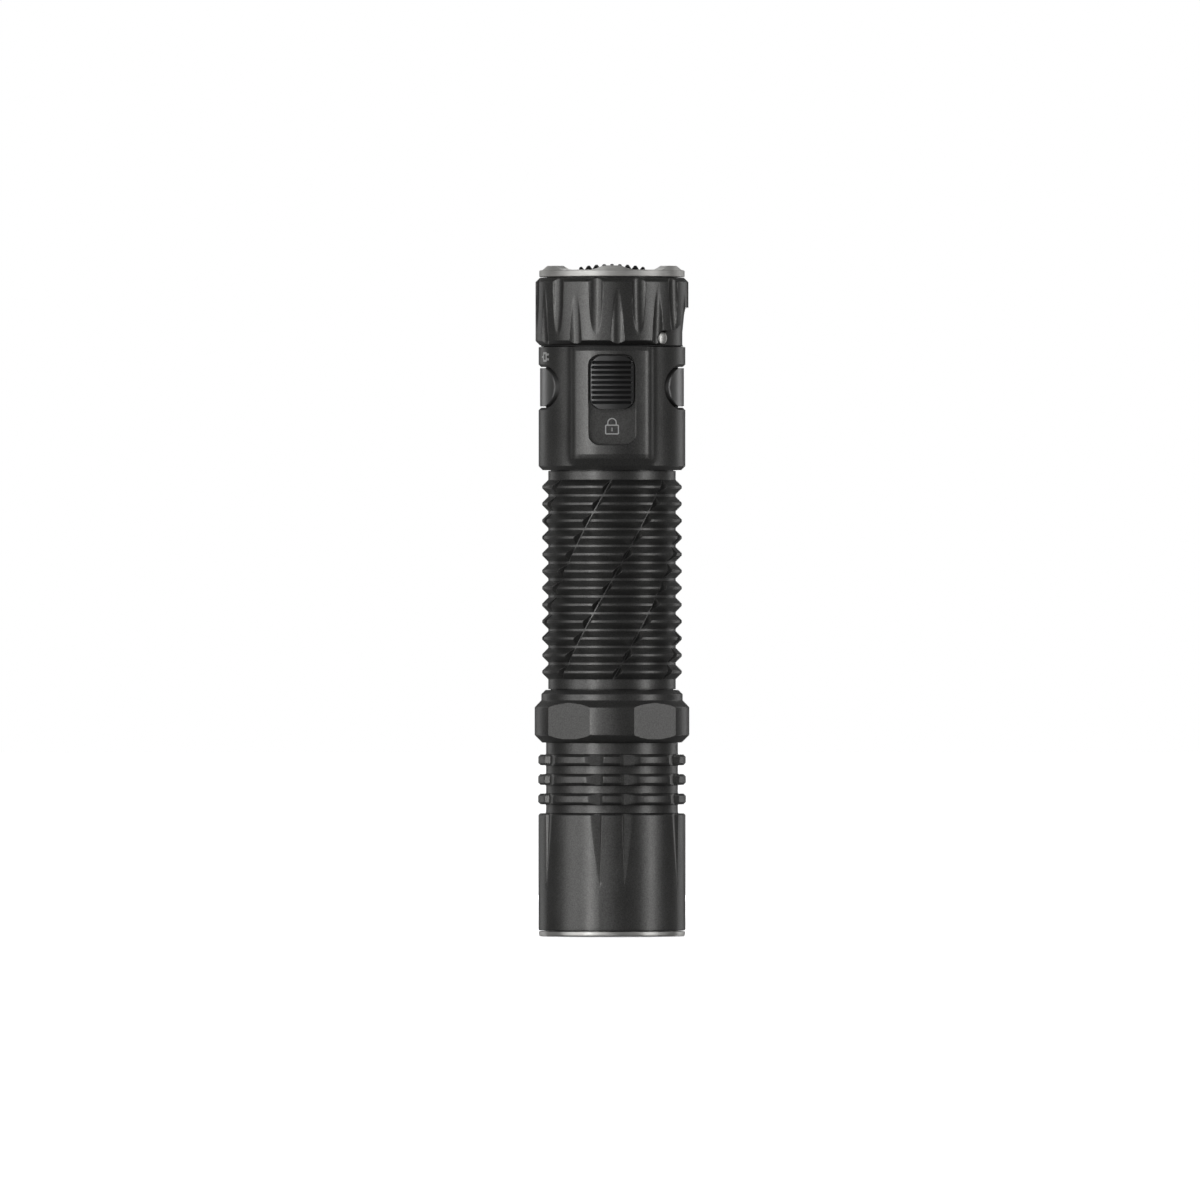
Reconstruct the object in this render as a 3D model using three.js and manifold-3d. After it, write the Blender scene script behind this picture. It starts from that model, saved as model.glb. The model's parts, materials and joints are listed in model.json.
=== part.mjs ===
// A tactical flashlight, built in millimetres with +Z towards the tail.
// The origin is the centre of the front bezel's face. The lock slider faces -Y,
// the charging port faces -X and the mode button faces +X.
// Azimuths are degrees from the front (-Y), growing towards +X.
import * as THREE from 'three';
import { mergeVertices } from 'three/addons/utils/BufferGeometryUtils.js';
import Module from 'manifold-3d';

const wasm = await Module();
wasm.setup();

// Clearances
const GAP = 0.3;
const SEAM = 0.2;

// Front bezel, lens and reflector
const BEZEL_R = 12.6;
const BEZEL_FACE = 0.86;
const BEZEL_SKIRT_R = 10.7;
const BEZEL_SKIRT_BACK = 1.4;
const BEZEL_BEVEL = 0.35;
const WINDOW_R = 9.9;
const LENS_SEAL_R = 10.25;
const LENS_SEAL_SECTION = 0.4;
const LENS_SEAL_Z = 2.1;
const LENS_R = 10.6;
const LENS_FRONT = 2.8;
const LENS_THICK = 1.5;
const REFLECTOR_FRONT = LENS_FRONT + LENS_THICK + GAP;
const REFLECTOR_BACK = 13.0;
const REFLECTOR_RIM_R = 9.7;
const REFLECTOR_RIM_THICK = 0.9;
const LED_HOLE_R = 3.3;
const LED_BOARD_FRONT = 13.5;
const LED_BOARD_THICK = 1.2;

// Head body
const HEAD_FRONT = BEZEL_FACE + SEAM;
const HEAD_R = 12.69;
const HEAD_STEP = 21.2;
const EDGE = 0.3;
const FIN_R = 12.75;
const FIN_ROOT_R = 11.37;
const FIN_THICK = 1.85;
const FIN_STARTS = [22.75, 26.11, 29.5];
const OPTIC_BORE_R = 10.95;
const SHELF_FRONT = 15.0;
const SHELF_BACK = 17.6;
const SHELF_BORE_R = 9.9;
const CELL_BORE_R = 9.6;
const WIRE_HOLE_R = 0.9;
const WIRE_HOLE_X = 6.2;
const ROLL_RING_R = 13.41;
const ROLL_RING_LOW = 33.4;
const ROLL_RING_TOP = 40.7;
const ROLL_RING_BEVEL = 1.3;
const ROLL_FLAT = 12.6;
const ROLL_FLAT_WIDTH = 14;
const COLLAR_R = 12.2;
const COLLAR_BEVEL = 0.7;
const HEAD_END = 42.5;
const HEAD_SIDES = 5;

// Facets ground on the head: a tilted flat with an uncut rib along its middle
const FACET_START_Z = 9.3;
const FACET_START_R = 12.55;
const FACET_TILT = THREE.MathUtils.degToRad(2.03);
const FACET_END_Z = 32.2;
const FACET_RIB_HALF = 2.125;
const FACET_RUN_OUT = 7;

// Threads and seals between the tube and its neighbours
const THREAD_BORE_R = 10.9;
const THREAD_R = 10.6;
const THREAD_ROOT_R = 10.15;
const THREAD_PITCH = 1.25;
const SEAL_GROOVE_R = 10.0;
const SEAL_RING_R = 10.5;
const SEAL_SECTION = 0.32;
const SEAL_GROOVE_WIDTH = 1.1;
const FRONT_GROOVE = 40.8;
const BACK_GROOVE = 81.0;
const THREAD_TURNS = 4;

// Battery tube and cell
const TUBE_R = 11.0;
const TUBE_BORE_R = 9.5;
const TUBE_FRONT = 34.3;
const TUBE_SHOULDER_FRONT = HEAD_END + SEAM;
const TUBE_SHOULDER_BACK = 80.2;
const TUBE_BACK = 88.4;
const RIBS = 12;
const RIB_PITCH = 2.9;
const RIB_PEAK_R = 12.05;
const RIB_CREST = 0.35;
const FIRST_RIB = 45.58;
const CUT_STARTS = 7;
const CUT_HALF_ANGLE = 4.0;
const CUT_LAST_AZIMUTH = -4.0;
const CUT_STEP = 360 / CUT_STARTS / 6;
const CELL_R = 9.25;
const CELL_LENGTH = 65;
const CELL_FRONT = 22.3;

// Tail housing
const HOUSING_LOW = 80.4;
const HOUSING_TOP = 101.75;
const HOUSING_R = 12.66;
const HOUSING_CHAMFER = 0.7;
const HOUSING_LEDGE_R = 9.7;
const HOUSING_LEDGE_LOW = 88.8;
const HOUSING_LEDGE_TOP = 90.6;
const HOUSING_POCKET_R = 10.8;
const PAD_R = 13.8;
const PAD_HALF = 6.85;
const PAD_EDGE = 0.8;
const SLOT_HALF = 4.05;
const SLOT_LOW = 84.75;
const SLOT_TOP = 100.2;
const SLOT_CORNER = 1.9;
const SLOT_FLOOR = 12.0;
const TONGUE_HALF = 4.35;
const TONGUE_GROOVE_HALF = 4.55;
const TONGUE_LOW = 12.25;
const TONGUE_TOP = 12.65;

// Lock slider
const SLIDER_HALF = 3.8;
const SLIDER_LOW = 90.87;
const SLIDER_TOP = 100.02;
const SLIDER_RIDGE_R = 13.85;
const SLIDER_RIDGES = 10;
const SLIDER_RIDGE_PITCH = 0.86;
const SLIDER_RIDGE_DEPTH = 0.38;
const SLIDER_EDGE_R = 13.4;
const SLIDER_CORNER = 2;
const TRACK_HALF = 0.9;
const MAGNET_R = 1.0;
const MAGNET_X = 2.2;
const MAGNET_Z = 97.4;
const DETENT_Z = 92.35;
const DETENT_BALL_R = 0.6;

// Side windows and what fills them
const SIDE_Z = 94.7;
const SIDE_HALF = 8.46;
const SIDE_RADIUS = 3.52;
const INSERT_R = 12.42;
const INSERT_HALF = 7.5;
const INSERT_RADIUS = 3.25;
const FLANGE_REACH = 0.45;

// Grip ring, crown and tail button
const RING_LOW = HOUSING_TOP + SEAM;
const RING_TOP = 113.6;
const RING_R = 13.2;
const RING_CHAMFER = 0.75;
const RING_BORE_R = 10.9;
const RING_ROOF = 111.2;
const RING_HOLE_R = 6.2;
const CROWN_SEAT_R = 9.8;
const CROWN_SEAT_Z = 112.5;
const FLUTES = 11;
const FLUTE_RADIUS = 1.85;
const FLUTE_DEPTH = 0.55;
const FLUTE_TAIL_AZIMUTH = -12.2;
const FLUTE_HEAD_AZIMUTH = 4.2;
const FLUTE_TAIL_TIP = 103.9;
const FLUTE_HEAD_TIP = 111.4;
const NOTCH_FLOOR_R = 12.15;
const NOTCH_TOP = 108.4;
const NOTCH_HALF = 8.83;
const NOTCH_STEP = 104.2;
const LANYARD_PIN_R = 1.08;
const LANYARD_PIN_AZIMUTH = 44;
const LANYARD_PIN_Z = 103.1;
const LANYARD_PIN_LENGTH = 1.2;
const CROWN_LOW = RING_TOP + SEAM;
const CROWN_BAND_TOP = 114.9;
const CROWN_TOP = 115.87;
const CROWN_R = 12.55;
const CROWN_BORE_R = 8.4;
const CROWN_TEETH = 6;
const TOOTH_TOP_HALF = 1.5;
const TOOTH_BASE_HALF = 4.3;
const BUTTON_R = 5.9;
const BUTTON_TOP = 116.0;
const BUTTON_SHOULDER = 114.4;
const BUTTON_FLANGE_R = 7.4;
const BUTTON_PITCH = 1.35;
const BUTTON_LOW = 109.9;
const BUTTON_FLANGE_TOP = 110.9;
const BUTTON_DOME = 115.45;
const STUD_R = 0.92;
const STUD_HEIGHT = 1.2;

// The circuit board inside the tail
const BOARD_R = 9.5;
const BOARD_LOW = 90.9;
const BOARD_TOP = 92.1;
const BOARD_CUT_X = 5.4;

const ANODISED = 0x3b3b3a;
const STEEL = 0xa9a8a4;
const BLACK_RUBBER = 0x1c1c1d;
const BLACK_PLASTIC = 0x232325;
const BRASS = 0xb08d4a;
const BOARD_GREEN = 0x1f4a34;

const rad = THREE.MathUtils.degToRad;

// A point at an azimuth, radius and height
function around(azimuth, radius, z) {
  const a = rad(azimuth);
  return [radius * Math.sin(a), -radius * Math.cos(a), z];
}

// The same geometry with shared vertices and its faces pointing out
function closed(geometry) {
  const bare = geometry.index ? geometry.toNonIndexed() : geometry.clone();
  bare.deleteAttribute('normal');
  bare.deleteAttribute('uv');
  const merged = mergeVertices(bare, 1e-4);
  const p = merged.attributes.position;
  const kept = [];
  let volume = 0;
  for (let i = 0; i < merged.index.count; i += 3) {
    const [a, b, c] = [0, 1, 2].map((k) => merged.index.getX(i + k));
    if (a === b || b === c || c === a) {
      continue;
    }
    kept.push(a, b, c);
    const [u, v, w] = [a, b, c].map((k) => new THREE.Vector3().fromBufferAttribute(p, k));
    volume += u.dot(v.cross(w));
  }
  if (volume < 0) {
    kept.reverse();
  }
  merged.setIndex(kept);
  return merged;
}

function solid(geometry) {
  const g = closed(geometry);
  return new wasm.Manifold(new wasm.Mesh({
    numProp: 3,
    vertProperties: new Float32Array(g.attributes.position.array),
    triVerts: new Uint32Array(g.index.array),
  }));
}

function geometryOf(manifold) {
  const mesh = manifold.getMesh();
  const g = new THREE.BufferGeometry();
  g.setAttribute('position', new THREE.BufferAttribute(mesh.vertProperties, 3));
  g.setIndex(new THREE.BufferAttribute(mesh.triVerts, 1));
  g.computeVertexNormals();
  return g;
}

function cut(geometry, tools) {
  return geometryOf(tools.reduce((left, tool) => left.subtract(solid(tool)), solid(geometry)));
}

function join(geometry, others) {
  return geometryOf(others.reduce((sum, other) => sum.add(solid(other)), solid(geometry)));
}

function common(geometry, other) {
  return geometryOf(solid(geometry).intersect(solid(other)));
}

// A solid of revolution about Z from [radius, z] corners; a hollow one closes on itself
function turned(corners, sides) {
  const points = corners.map(([r, z]) => new THREE.Vector2(r, z));
  if (points[0].x > 0) {
    points.push(points[0].clone());
  }
  return closed(new THREE.LatheGeometry(points, sides).rotateX(Math.PI / 2));
}

function disc(radius, low, high, sides) {
  return turned([[0, low], [radius, low], [radius, high], [0, high]], sides);
}

function ring(inner, outer, low, high, sides) {
  return turned([[inner, low], [outer, low], [outer, high], [inner, high]], sides);
}

// A round-section ring about Z
function sealRing(radius, section, z, sides) {
  const corners = [];
  for (let i = 0; i < 6; i += 1) {
    const a = (i * Math.PI) / 3;
    corners.push([radius + section * Math.cos(a), z + section * Math.sin(a)]);
  }
  return turned(corners, sides);
}

function block(x, y, z, sizeX, sizeY, sizeZ) {
  return new THREE.BoxGeometry(sizeX, sizeY, sizeZ).translate(x, y, z);
}

// A prism along Z from a flat shape in X and Y
function prism(shape, low, high, steps = 4) {
  const g = new THREE.ExtrudeGeometry(shape, {
    depth: high - low, bevelEnabled: false, curveSegments: steps,
  });
  return closed(g.translate(0, 0, low));
}

function polygon(points) {
  return new THREE.Shape(points.map(([x, y]) => new THREE.Vector2(x, y)));
}

// A rectangle with round corners, centred on the origin
function roundedRect(halfX, halfY, corner) {
  const s = new THREE.Shape();
  s.moveTo(halfX - corner, -halfY);
  s.absarc(halfX - corner, -halfY + corner, corner, -Math.PI / 2, 0, false);
  s.absarc(halfX - corner, halfY - corner, corner, 0, Math.PI / 2, false);
  s.absarc(-halfX + corner, halfY - corner, corner, Math.PI / 2, Math.PI, false);
  s.absarc(-halfX + corner, -halfY + corner, corner, Math.PI, Math.PI * 1.5, false);
  s.closePath();
  return s;
}

// A pin along X between two x values
function pinAlongX(radius, from, to, y, z, sides) {
  const g = new THREE.CylinderGeometry(radius, radius, to - from, sides);
  return closed(g.rotateZ(Math.PI / 2).translate((from + to) / 2, y, z));
}

// A coil whose radius changes along Z
function coil(wire, turns, low, high, lowRadius, highRadius) {
  const path = new THREE.Curve();
  path.getPoint = (t) => {
    const a = t * turns * Math.PI * 2;
    const r = lowRadius + (highRadius - lowRadius) * t;
    return new THREE.Vector3(r * Math.cos(a), r * Math.sin(a), low + (high - low) * t);
  };
  const section = new THREE.Shape();
  section.absarc(0, 0, wire / 2, 0, Math.PI * 2, false);
  return closed(new THREE.ExtrudeGeometry(section, {
    steps: Math.round(turns * 10), curveSegments: 3, bevelEnabled: false, extrudePath: path,
  }));
}

// Turned corners for a thread between two heights, drawn as sharp rings over a root
function threadCorners(low, count) {
  const corners = [[THREAD_ROOT_R, low]];
  for (let i = 0; i < count; i += 1) {
    const z = low + THREAD_PITCH * (i + 0.5);
    corners.push([THREAD_R, z], [THREAD_ROOT_R, z + THREAD_PITCH / 2]);
  }
  return corners;
}

function frontBezel() {
  return turned([
    [WINDOW_R, EDGE], [WINDOW_R + EDGE, 0], [BEZEL_R - BEZEL_BEVEL, 0], [BEZEL_R, EDGE],
    [BEZEL_R, BEZEL_FACE - 0.1], [BEZEL_R - 0.1, BEZEL_FACE], [BEZEL_SKIRT_R, BEZEL_FACE],
    [BEZEL_SKIRT_R, BEZEL_SKIRT_BACK], [WINDOW_R, BEZEL_SKIRT_BACK],
  ], 36);
}

function reflector() {
  const bowl = [];
  const back = REFLECTOR_BACK;
  const front = REFLECTOR_FRONT;
  const rim = REFLECTOR_RIM_R;
  for (let i = 0; i <= 6; i += 1) {
    const t = i / 6;
    const r = LED_HOLE_R + (rim - LED_HOLE_R) * t;
    const z = back - (back - front) * ((r * r - LED_HOLE_R ** 2) / (rim * rim - LED_HOLE_R ** 2));
    bowl.push([r, z]);
  }
  const rimBack = front + REFLECTOR_RIM_THICK;
  return turned([...bowl, [LENS_R, front], [LENS_R, rimBack], [10.1, rimBack],
    [8.6, 8.9], [6.6, 11.2], [5.4, back]], 28);
}

// The head before its facets are ground
function headBlank() {
  const fins = FIN_STARTS.flatMap((z) => [
    [FIN_ROOT_R, z], [FIN_R - EDGE, z], [FIN_R, z + EDGE], [FIN_R, z + FIN_THICK - EDGE],
    [FIN_R - EDGE, z + FIN_THICK], [FIN_ROOT_R, z + FIN_THICK],
  ]);
  return turned([
    [0, SHELF_FRONT], [SHELF_BORE_R, SHELF_FRONT], [SHELF_BORE_R, REFLECTOR_BACK],
    [OPTIC_BORE_R, REFLECTOR_BACK],
    [OPTIC_BORE_R, HEAD_FRONT], [HEAD_R - EDGE, HEAD_FRONT], [HEAD_R, HEAD_FRONT + EDGE],
    [HEAD_R, HEAD_STEP - EDGE], [HEAD_R - EDGE, HEAD_STEP], [FIN_ROOT_R, HEAD_STEP], ...fins,
    [FIN_ROOT_R, ROLL_RING_LOW], [ROLL_RING_R - ROLL_RING_BEVEL, ROLL_RING_LOW],
    [ROLL_RING_R, ROLL_RING_LOW + ROLL_RING_BEVEL],
    [ROLL_RING_R, ROLL_RING_TOP - ROLL_RING_BEVEL], [COLLAR_R, ROLL_RING_TOP],
    [COLLAR_R, HEAD_END - COLLAR_BEVEL], [COLLAR_R - COLLAR_BEVEL, HEAD_END],
    [THREAD_BORE_R, HEAD_END], [THREAD_BORE_R, TUBE_FRONT - GAP],
    [CELL_BORE_R, TUBE_FRONT - GAP], [CELL_BORE_R, SHELF_BACK], [0, SHELF_BACK],
  ], 35);
}

// One cut beside a facet's middle rib; side is 1 or -1
function facetCut(azimuth, side) {
  const reach = 3;
  const length = FACET_END_Z - FACET_START_Z;
  const flat = polygon([[FACET_RIB_HALF, 0], [8, 0], [8, -reach],
    [FACET_RIB_HALF - reach, -reach]]);
  const g = prism(flat, -FACET_RUN_OUT, length);
  g.scale(side, 1, 1);
  g.rotateX(-FACET_TILT);
  g.translate(0, -FACET_START_R, FACET_START_Z);
  return g.rotateZ(rad(azimuth));
}

function headBody() {
  const tools = [];
  for (let i = 0; i < HEAD_SIDES; i += 1) {
    const facet = (360 / HEAD_SIDES) * i;
    tools.push(facetCut(facet, 1), facetCut(facet, -1));
    const flat = block(0, -ROLL_FLAT - 2, (ROLL_RING_LOW + ROLL_RING_TOP) / 2,
      ROLL_FLAT_WIDTH, 4, ROLL_RING_TOP - ROLL_RING_LOW - EDGE);
    tools.push(flat.rotateZ(rad(facet + 180 / HEAD_SIDES)));
  }
  for (const x of [-WIRE_HOLE_X, WIRE_HOLE_X]) {
    tools.push(disc(WIRE_HOLE_R, SHELF_FRONT - 1, SHELF_BACK + 1, 10).translate(x, 0, 0));
  }
  return cut(headBlank(), tools);
}

// Turned corners of the plain neck with a seal's groove in it
function grooveCorners(start, grooveLow, end) {
  const grooveTop = grooveLow + SEAL_GROOVE_WIDTH;
  return [
    [THREAD_R, start], [THREAD_R, grooveLow], [SEAL_GROOVE_R, grooveLow],
    [SEAL_GROOVE_R, grooveTop], [THREAD_R, grooveTop], [THREAD_R, end],
  ];
}

// Turned corners of the tube's outside, from its front end to its back end
function tubeCorners() {
  const ribs = [];
  const flank = RIB_PEAK_R - TUBE_R + RIB_CREST / 2;
  for (let i = 0; i < RIBS; i += 1) {
    const z = FIRST_RIB + RIB_PITCH * i;
    ribs.push([TUBE_R, z - flank], [RIB_PEAK_R, z], [TUBE_R, z + flank]);
  }
  return [
    [0, TUBE_FRONT], ...threadCorners(TUBE_FRONT + 0.2, THREAD_TURNS),
    [THREAD_ROOT_R, FRONT_GROOVE - 0.6],
    ...grooveCorners(FRONT_GROOVE - 0.6, FRONT_GROOVE, TUBE_SHOULDER_FRONT),
    [TUBE_R, TUBE_SHOULDER_FRONT], ...ribs, [TUBE_R, TUBE_SHOULDER_BACK],
    ...grooveCorners(TUBE_SHOULDER_BACK, BACK_GROOVE, BACK_GROOVE + 1.7),
    ...threadCorners(BACK_GROOVE + 1.9, THREAD_TURNS), [THREAD_ROOT_R, TUBE_BACK], [0, TUBE_BACK],
  ];
}

// Four corners for each helical cut: its two lips, its bottom and one midway to the next cut
const SECTOR = [-CUT_HALF_ANGLE, 0, CUT_HALF_ANGLE, 180 / CUT_STARTS];

// The helical cuts' turn at a height, in degrees
function cutTurn(z) {
  const ribsFromTail = RIBS - 1 - (z - FIRST_RIB) / RIB_PITCH;
  const held = THREE.MathUtils.clamp(ribsFromTail, 0, RIBS - 1);
  return CUT_LAST_AZIMUTH - CUT_STEP * held;
}

// The tube: the turned outline, twisted so that each ring of corners follows the helical
// cuts, with the rib crests pushed down to the root along each cut
function batteryTube() {
  const sides = CUT_STARTS * SECTOR.length;
  const points = tubeCorners().map(([r, z]) => new THREE.Vector2(r, z));
  const g = new THREE.LatheGeometry(points, sides).rotateX(Math.PI / 2);
  const p = g.attributes.position;
  for (let side = 0; side <= sides; side += 1) {
    const start = Math.floor((side % sides) / SECTOR.length) * (360 / CUT_STARTS);
    const azimuth = start + SECTOR[side % SECTOR.length];
    for (let i = 0; i < points.length; i += 1) {
      const isCut = side % SECTOR.length === 1 && points[i].x > TUBE_R;
      const r = isCut ? TUBE_R : points[i].x;
      const at = around(azimuth + cutTurn(points[i].y), r, points[i].y);
      p.setXYZ(side * points.length + i, ...at);
    }
  }
  return cut(g, [disc(TUBE_BORE_R, TUBE_FRONT - 1, TUBE_BACK + 1, 40)]);
}

// The raised pad over the housing's front, with a 45 degree end towards the head
function pad() {
  const lowCone = turned([
    [0, HOUSING_LOW], [HOUSING_R - HOUSING_CHAMFER, HOUSING_LOW],
    [PAD_R, HOUSING_LOW + PAD_R - HOUSING_R + HOUSING_CHAMFER],
    [PAD_R, HOUSING_TOP - HOUSING_CHAMFER], [PAD_R - HOUSING_CHAMFER, HOUSING_TOP],
    [0, HOUSING_TOP],
  ], 48);
  const narrow = PAD_HALF - PAD_EDGE;
  const wide = PAD_HALF + PAD_EDGE;
  const stripe = polygon([[-wide, -9.9], [-PAD_HALF, -11.2], [-narrow, -12.4],
    [-narrow, -14.2], [narrow, -14.2], [narrow, -12.4], [PAD_HALF, -11.2], [wide, -9.9],
    [narrow / 2, -11.5], [-narrow / 2, -11.5]]);
  return common(lowCone, prism(stripe, HOUSING_LOW - 1, HOUSING_TOP + 1));
}

// A window outline along X: a rectangle whose ends are half round
function sideOutline(halfLength, radius, from, to) {
  const g = prism(roundedRect(halfLength, radius, radius - 0.001), from, to, 4);
  return g.rotateX(Math.PI / 2).rotateZ(Math.PI / 2).translate(0, 0, SIDE_Z);
}

function tailHousing() {
  const body = turned([
    [THREAD_BORE_R, HOUSING_LOW], [HOUSING_R - HOUSING_CHAMFER, HOUSING_LOW],
    [HOUSING_R, HOUSING_LOW + HOUSING_CHAMFER], [HOUSING_R, HOUSING_TOP - EDGE],
    [HOUSING_R - EDGE, HOUSING_TOP], [HOUSING_POCKET_R, HOUSING_TOP],
    [HOUSING_POCKET_R, HOUSING_LEDGE_TOP], [HOUSING_LEDGE_R, HOUSING_LEDGE_TOP],
    [HOUSING_LEDGE_R, HOUSING_LEDGE_LOW], [THREAD_BORE_R, HOUSING_LEDGE_LOW],
  ], 48);
  const slotMid = (SLOT_LOW + SLOT_TOP) / 2;
  const slotLength = SLOT_TOP - SLOT_LOW;
  const slot = prism(roundedRect(SLOT_HALF, slotLength / 2, SLOT_CORNER), 0, 3)
    .rotateX(Math.PI / 2).translate(0, -SLOT_FLOOR, slotMid);
  const tongueDepth = TONGUE_TOP - TONGUE_LOW + SEAM;
  const tongue = block(0, -(TONGUE_LOW + TONGUE_TOP) / 2, slotMid,
    2 * TONGUE_GROOVE_HALF, tongueDepth, slotLength - SLOT_CORNER);
  const detent = new THREE.CylinderGeometry(0.8, 0.8, 4, 12).translate(0, -12, DETENT_Z);
  const blank = join(body, [pad()]);
  const bored = cut(blank, [disc(HOUSING_LEDGE_R, HOUSING_LOW - 1, HOUSING_TOP + 1, 48)]);
  return cut(bored, [slot, tongue, detent,
    sideOutline(SIDE_HALF, SIDE_RADIUS, 6, 14), sideOutline(SIDE_HALF, SIDE_RADIUS, -14, -6)]);
}

// A curved plate that fills a side window on +X, between two radii
function sidePlate(outer, inner, grow) {
  const shell = ring(inner, outer, SIDE_Z - 6, SIDE_Z + 6, 40);
  return common(shell, sideOutline(INSERT_HALF + grow, INSERT_RADIUS + grow, 3, 14));
}

function modeButton() {
  const face = sidePlate(INSERT_R, 10.2, 0);
  const flange = sidePlate(10.5, 9.9, FLANGE_REACH);
  return join(face, [flange, pinAlongX(1.2, 7.4, 10.3, 0, SIDE_Z, 12)]);
}

function portCover() {
  const plug = block(10.4, 0, SIDE_Z, 2.2, 6.6, 1.8);
  return closed(join(sidePlate(INSERT_R, 11.3, 0), [plug]).rotateZ(Math.PI));
}

function portFrame() {
  const opening = block(10.5, 0, SIDE_Z, 4, 9.6, 3.9);
  return closed(cut(sidePlate(11.0, 10.1, 0), [opening]).rotateZ(Math.PI));
}

function usbSocket() {
  const shell = prism(roundedRect(4.47, 1.63, 1.6), 2.75, 10.1, 3);
  const mouth = prism(roundedRect(4.17, 1.28, 1.25), 4.5, 11.5, 3);
  return cut(shell, [mouth]).rotateX(Math.PI / 2).rotateZ(-Math.PI / 2).translate(0, 0, SIDE_Z);
}

// The lock slider: ridges across it, a tongue down each side and pockets underneath
function lockSlider() {
  const side = [[SLIDER_TOP, -SLOT_FLOOR - SEAM], [SLIDER_TOP, -SLIDER_EDGE_R]];
  const mid = (SLIDER_LOW + SLIDER_TOP) / 2;
  for (let i = SLIDER_RIDGES - 1; i >= 0; i -= 1) {
    const z = mid + (i - (SLIDER_RIDGES - 1) / 2) * SLIDER_RIDGE_PITCH;
    side.push([z + 0.32, -SLIDER_RIDGE_R + SLIDER_RIDGE_DEPTH], [z + 0.12, -SLIDER_RIDGE_R - 1],
      [z - 0.12, -SLIDER_RIDGE_R - 1], [z - 0.32, -SLIDER_RIDGE_R + SLIDER_RIDGE_DEPTH]);
  }
  side.push([SLIDER_LOW, -SLIDER_EDGE_R], [SLIDER_LOW, -SLOT_FLOOR - SEAM]);
  const slab = prism(polygon(side.map(([z, y]) => [y, z])), -SLIDER_HALF, SLIDER_HALF);
  slab.applyMatrix4(new THREE.Matrix4().set(0, 0, 1, 0, 1, 0, 0, 0, 0, 1, 0, 0, 0, 0, 0, 1));
  const halfLength = (SLIDER_TOP - SLIDER_LOW) / 2;
  const outline = prism(roundedRect(SLIDER_HALF, halfLength, SLIDER_CORNER), 0, 16)
    .rotateX(Math.PI / 2).translate(0, 0, mid);
  const barrel = disc(SLIDER_RIDGE_R, SLIDER_LOW - 1, SLIDER_TOP + 1, 48);
  const body = common(common(slab, outline), barrel);
  const tongue = block(0, -(TONGUE_LOW + TONGUE_TOP) / 2, mid, 2 * TONGUE_HALF,
    TONGUE_TOP - TONGUE_LOW, 4.4);
  const track = block(0, -SLOT_FLOOR - 0.4, mid, 2 * TRACK_HALF, 1.0, 2 * halfLength + 2);
  const pocket = new THREE.CylinderGeometry(MAGNET_R + 0.25, MAGNET_R + 0.25, 2.2, 16)
    .translate(MAGNET_X, -12.05, MAGNET_Z);
  return cut(join(body, [tongue]), [track, pocket]);
}

function detentLeaf() {
  const side = [[91.4, -10.7], [91.9, -10.7], [92.05, -11.1], [92.65, -11.1], [92.8, -10.7],
    [98.6, -10.7], [98.6, -10.5], [92.7, -10.5], [92.5, -10.9], [92.2, -10.9], [92.0, -10.5],
    [91.4, -10.5]];
  const g = prism(polygon(side.map(([z, y]) => [y, z])), -0.6, 0.6);
  g.applyMatrix4(new THREE.Matrix4().set(0, 0, 1, 0, 1, 0, 0, 0, 0, 1, 0, 0, 0, 0, 0, 1));
  return closed(g);
}

// A tapering flute in the grip ring, deepest at its open end
function flute(azimuth, openZ, tipZ) {
  const length = Math.abs(openZ - tipZ) + 3;
  const tilt = Math.atan2(FLUTE_DEPTH, Math.abs(openZ - tipZ));
  const dir = Math.sign(tipZ - openZ);
  const g = new THREE.CylinderGeometry(FLUTE_RADIUS, FLUTE_RADIUS, length, 14).rotateX(Math.PI / 2);
  g.translate(0, 0, dir * (length / 2 - 1.5));
  g.rotateX(dir * tilt);
  g.translate(0, -(RING_R - FLUTE_DEPTH + FLUTE_RADIUS), openZ);
  return g.rotateZ(rad(azimuth));
}

// The recess for a wrist cord on the ring's +X side
function notch() {
  const outline = new THREE.Shape();
  outline.moveTo(-NOTCH_HALF, RING_LOW - 1);
  outline.lineTo(NOTCH_HALF, RING_LOW - 1);
  outline.lineTo(NOTCH_HALF, NOTCH_STEP);
  outline.quadraticCurveTo(5.8, NOTCH_STEP + 0.2, 3.6, NOTCH_TOP);
  outline.lineTo(-3.6, NOTCH_TOP);
  outline.quadraticCurveTo(-5.8, NOTCH_STEP + 0.2, -NOTCH_HALF, NOTCH_STEP);
  outline.closePath();
  const window = prism(outline, 5, 16, 5).rotateX(Math.PI / 2).rotateZ(Math.PI / 2);
  const outside = turned([[NOTCH_FLOOR_R, RING_LOW - 2], [16, RING_LOW - 2], [16, NOTCH_TOP + 1],
    [NOTCH_FLOOR_R + 0.5, NOTCH_TOP + 1], [NOTCH_FLOOR_R, NOTCH_STEP]], 44);
  return common(window, outside);
}

function lanyardPin(azimuth) {
  const g = new THREE.CylinderGeometry(LANYARD_PIN_R, LANYARD_PIN_R, LANYARD_PIN_LENGTH, 16);
  return g.translate(0, -NOTCH_FLOOR_R, LANYARD_PIN_Z).rotateZ(rad(azimuth));
}

function pinHole(azimuth) {
  const g = new THREE.CylinderGeometry(LANYARD_PIN_R + GAP, LANYARD_PIN_R + GAP, 4, 16);
  return g.translate(0, -13.25, LANYARD_PIN_Z).rotateZ(rad(azimuth));
}

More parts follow.
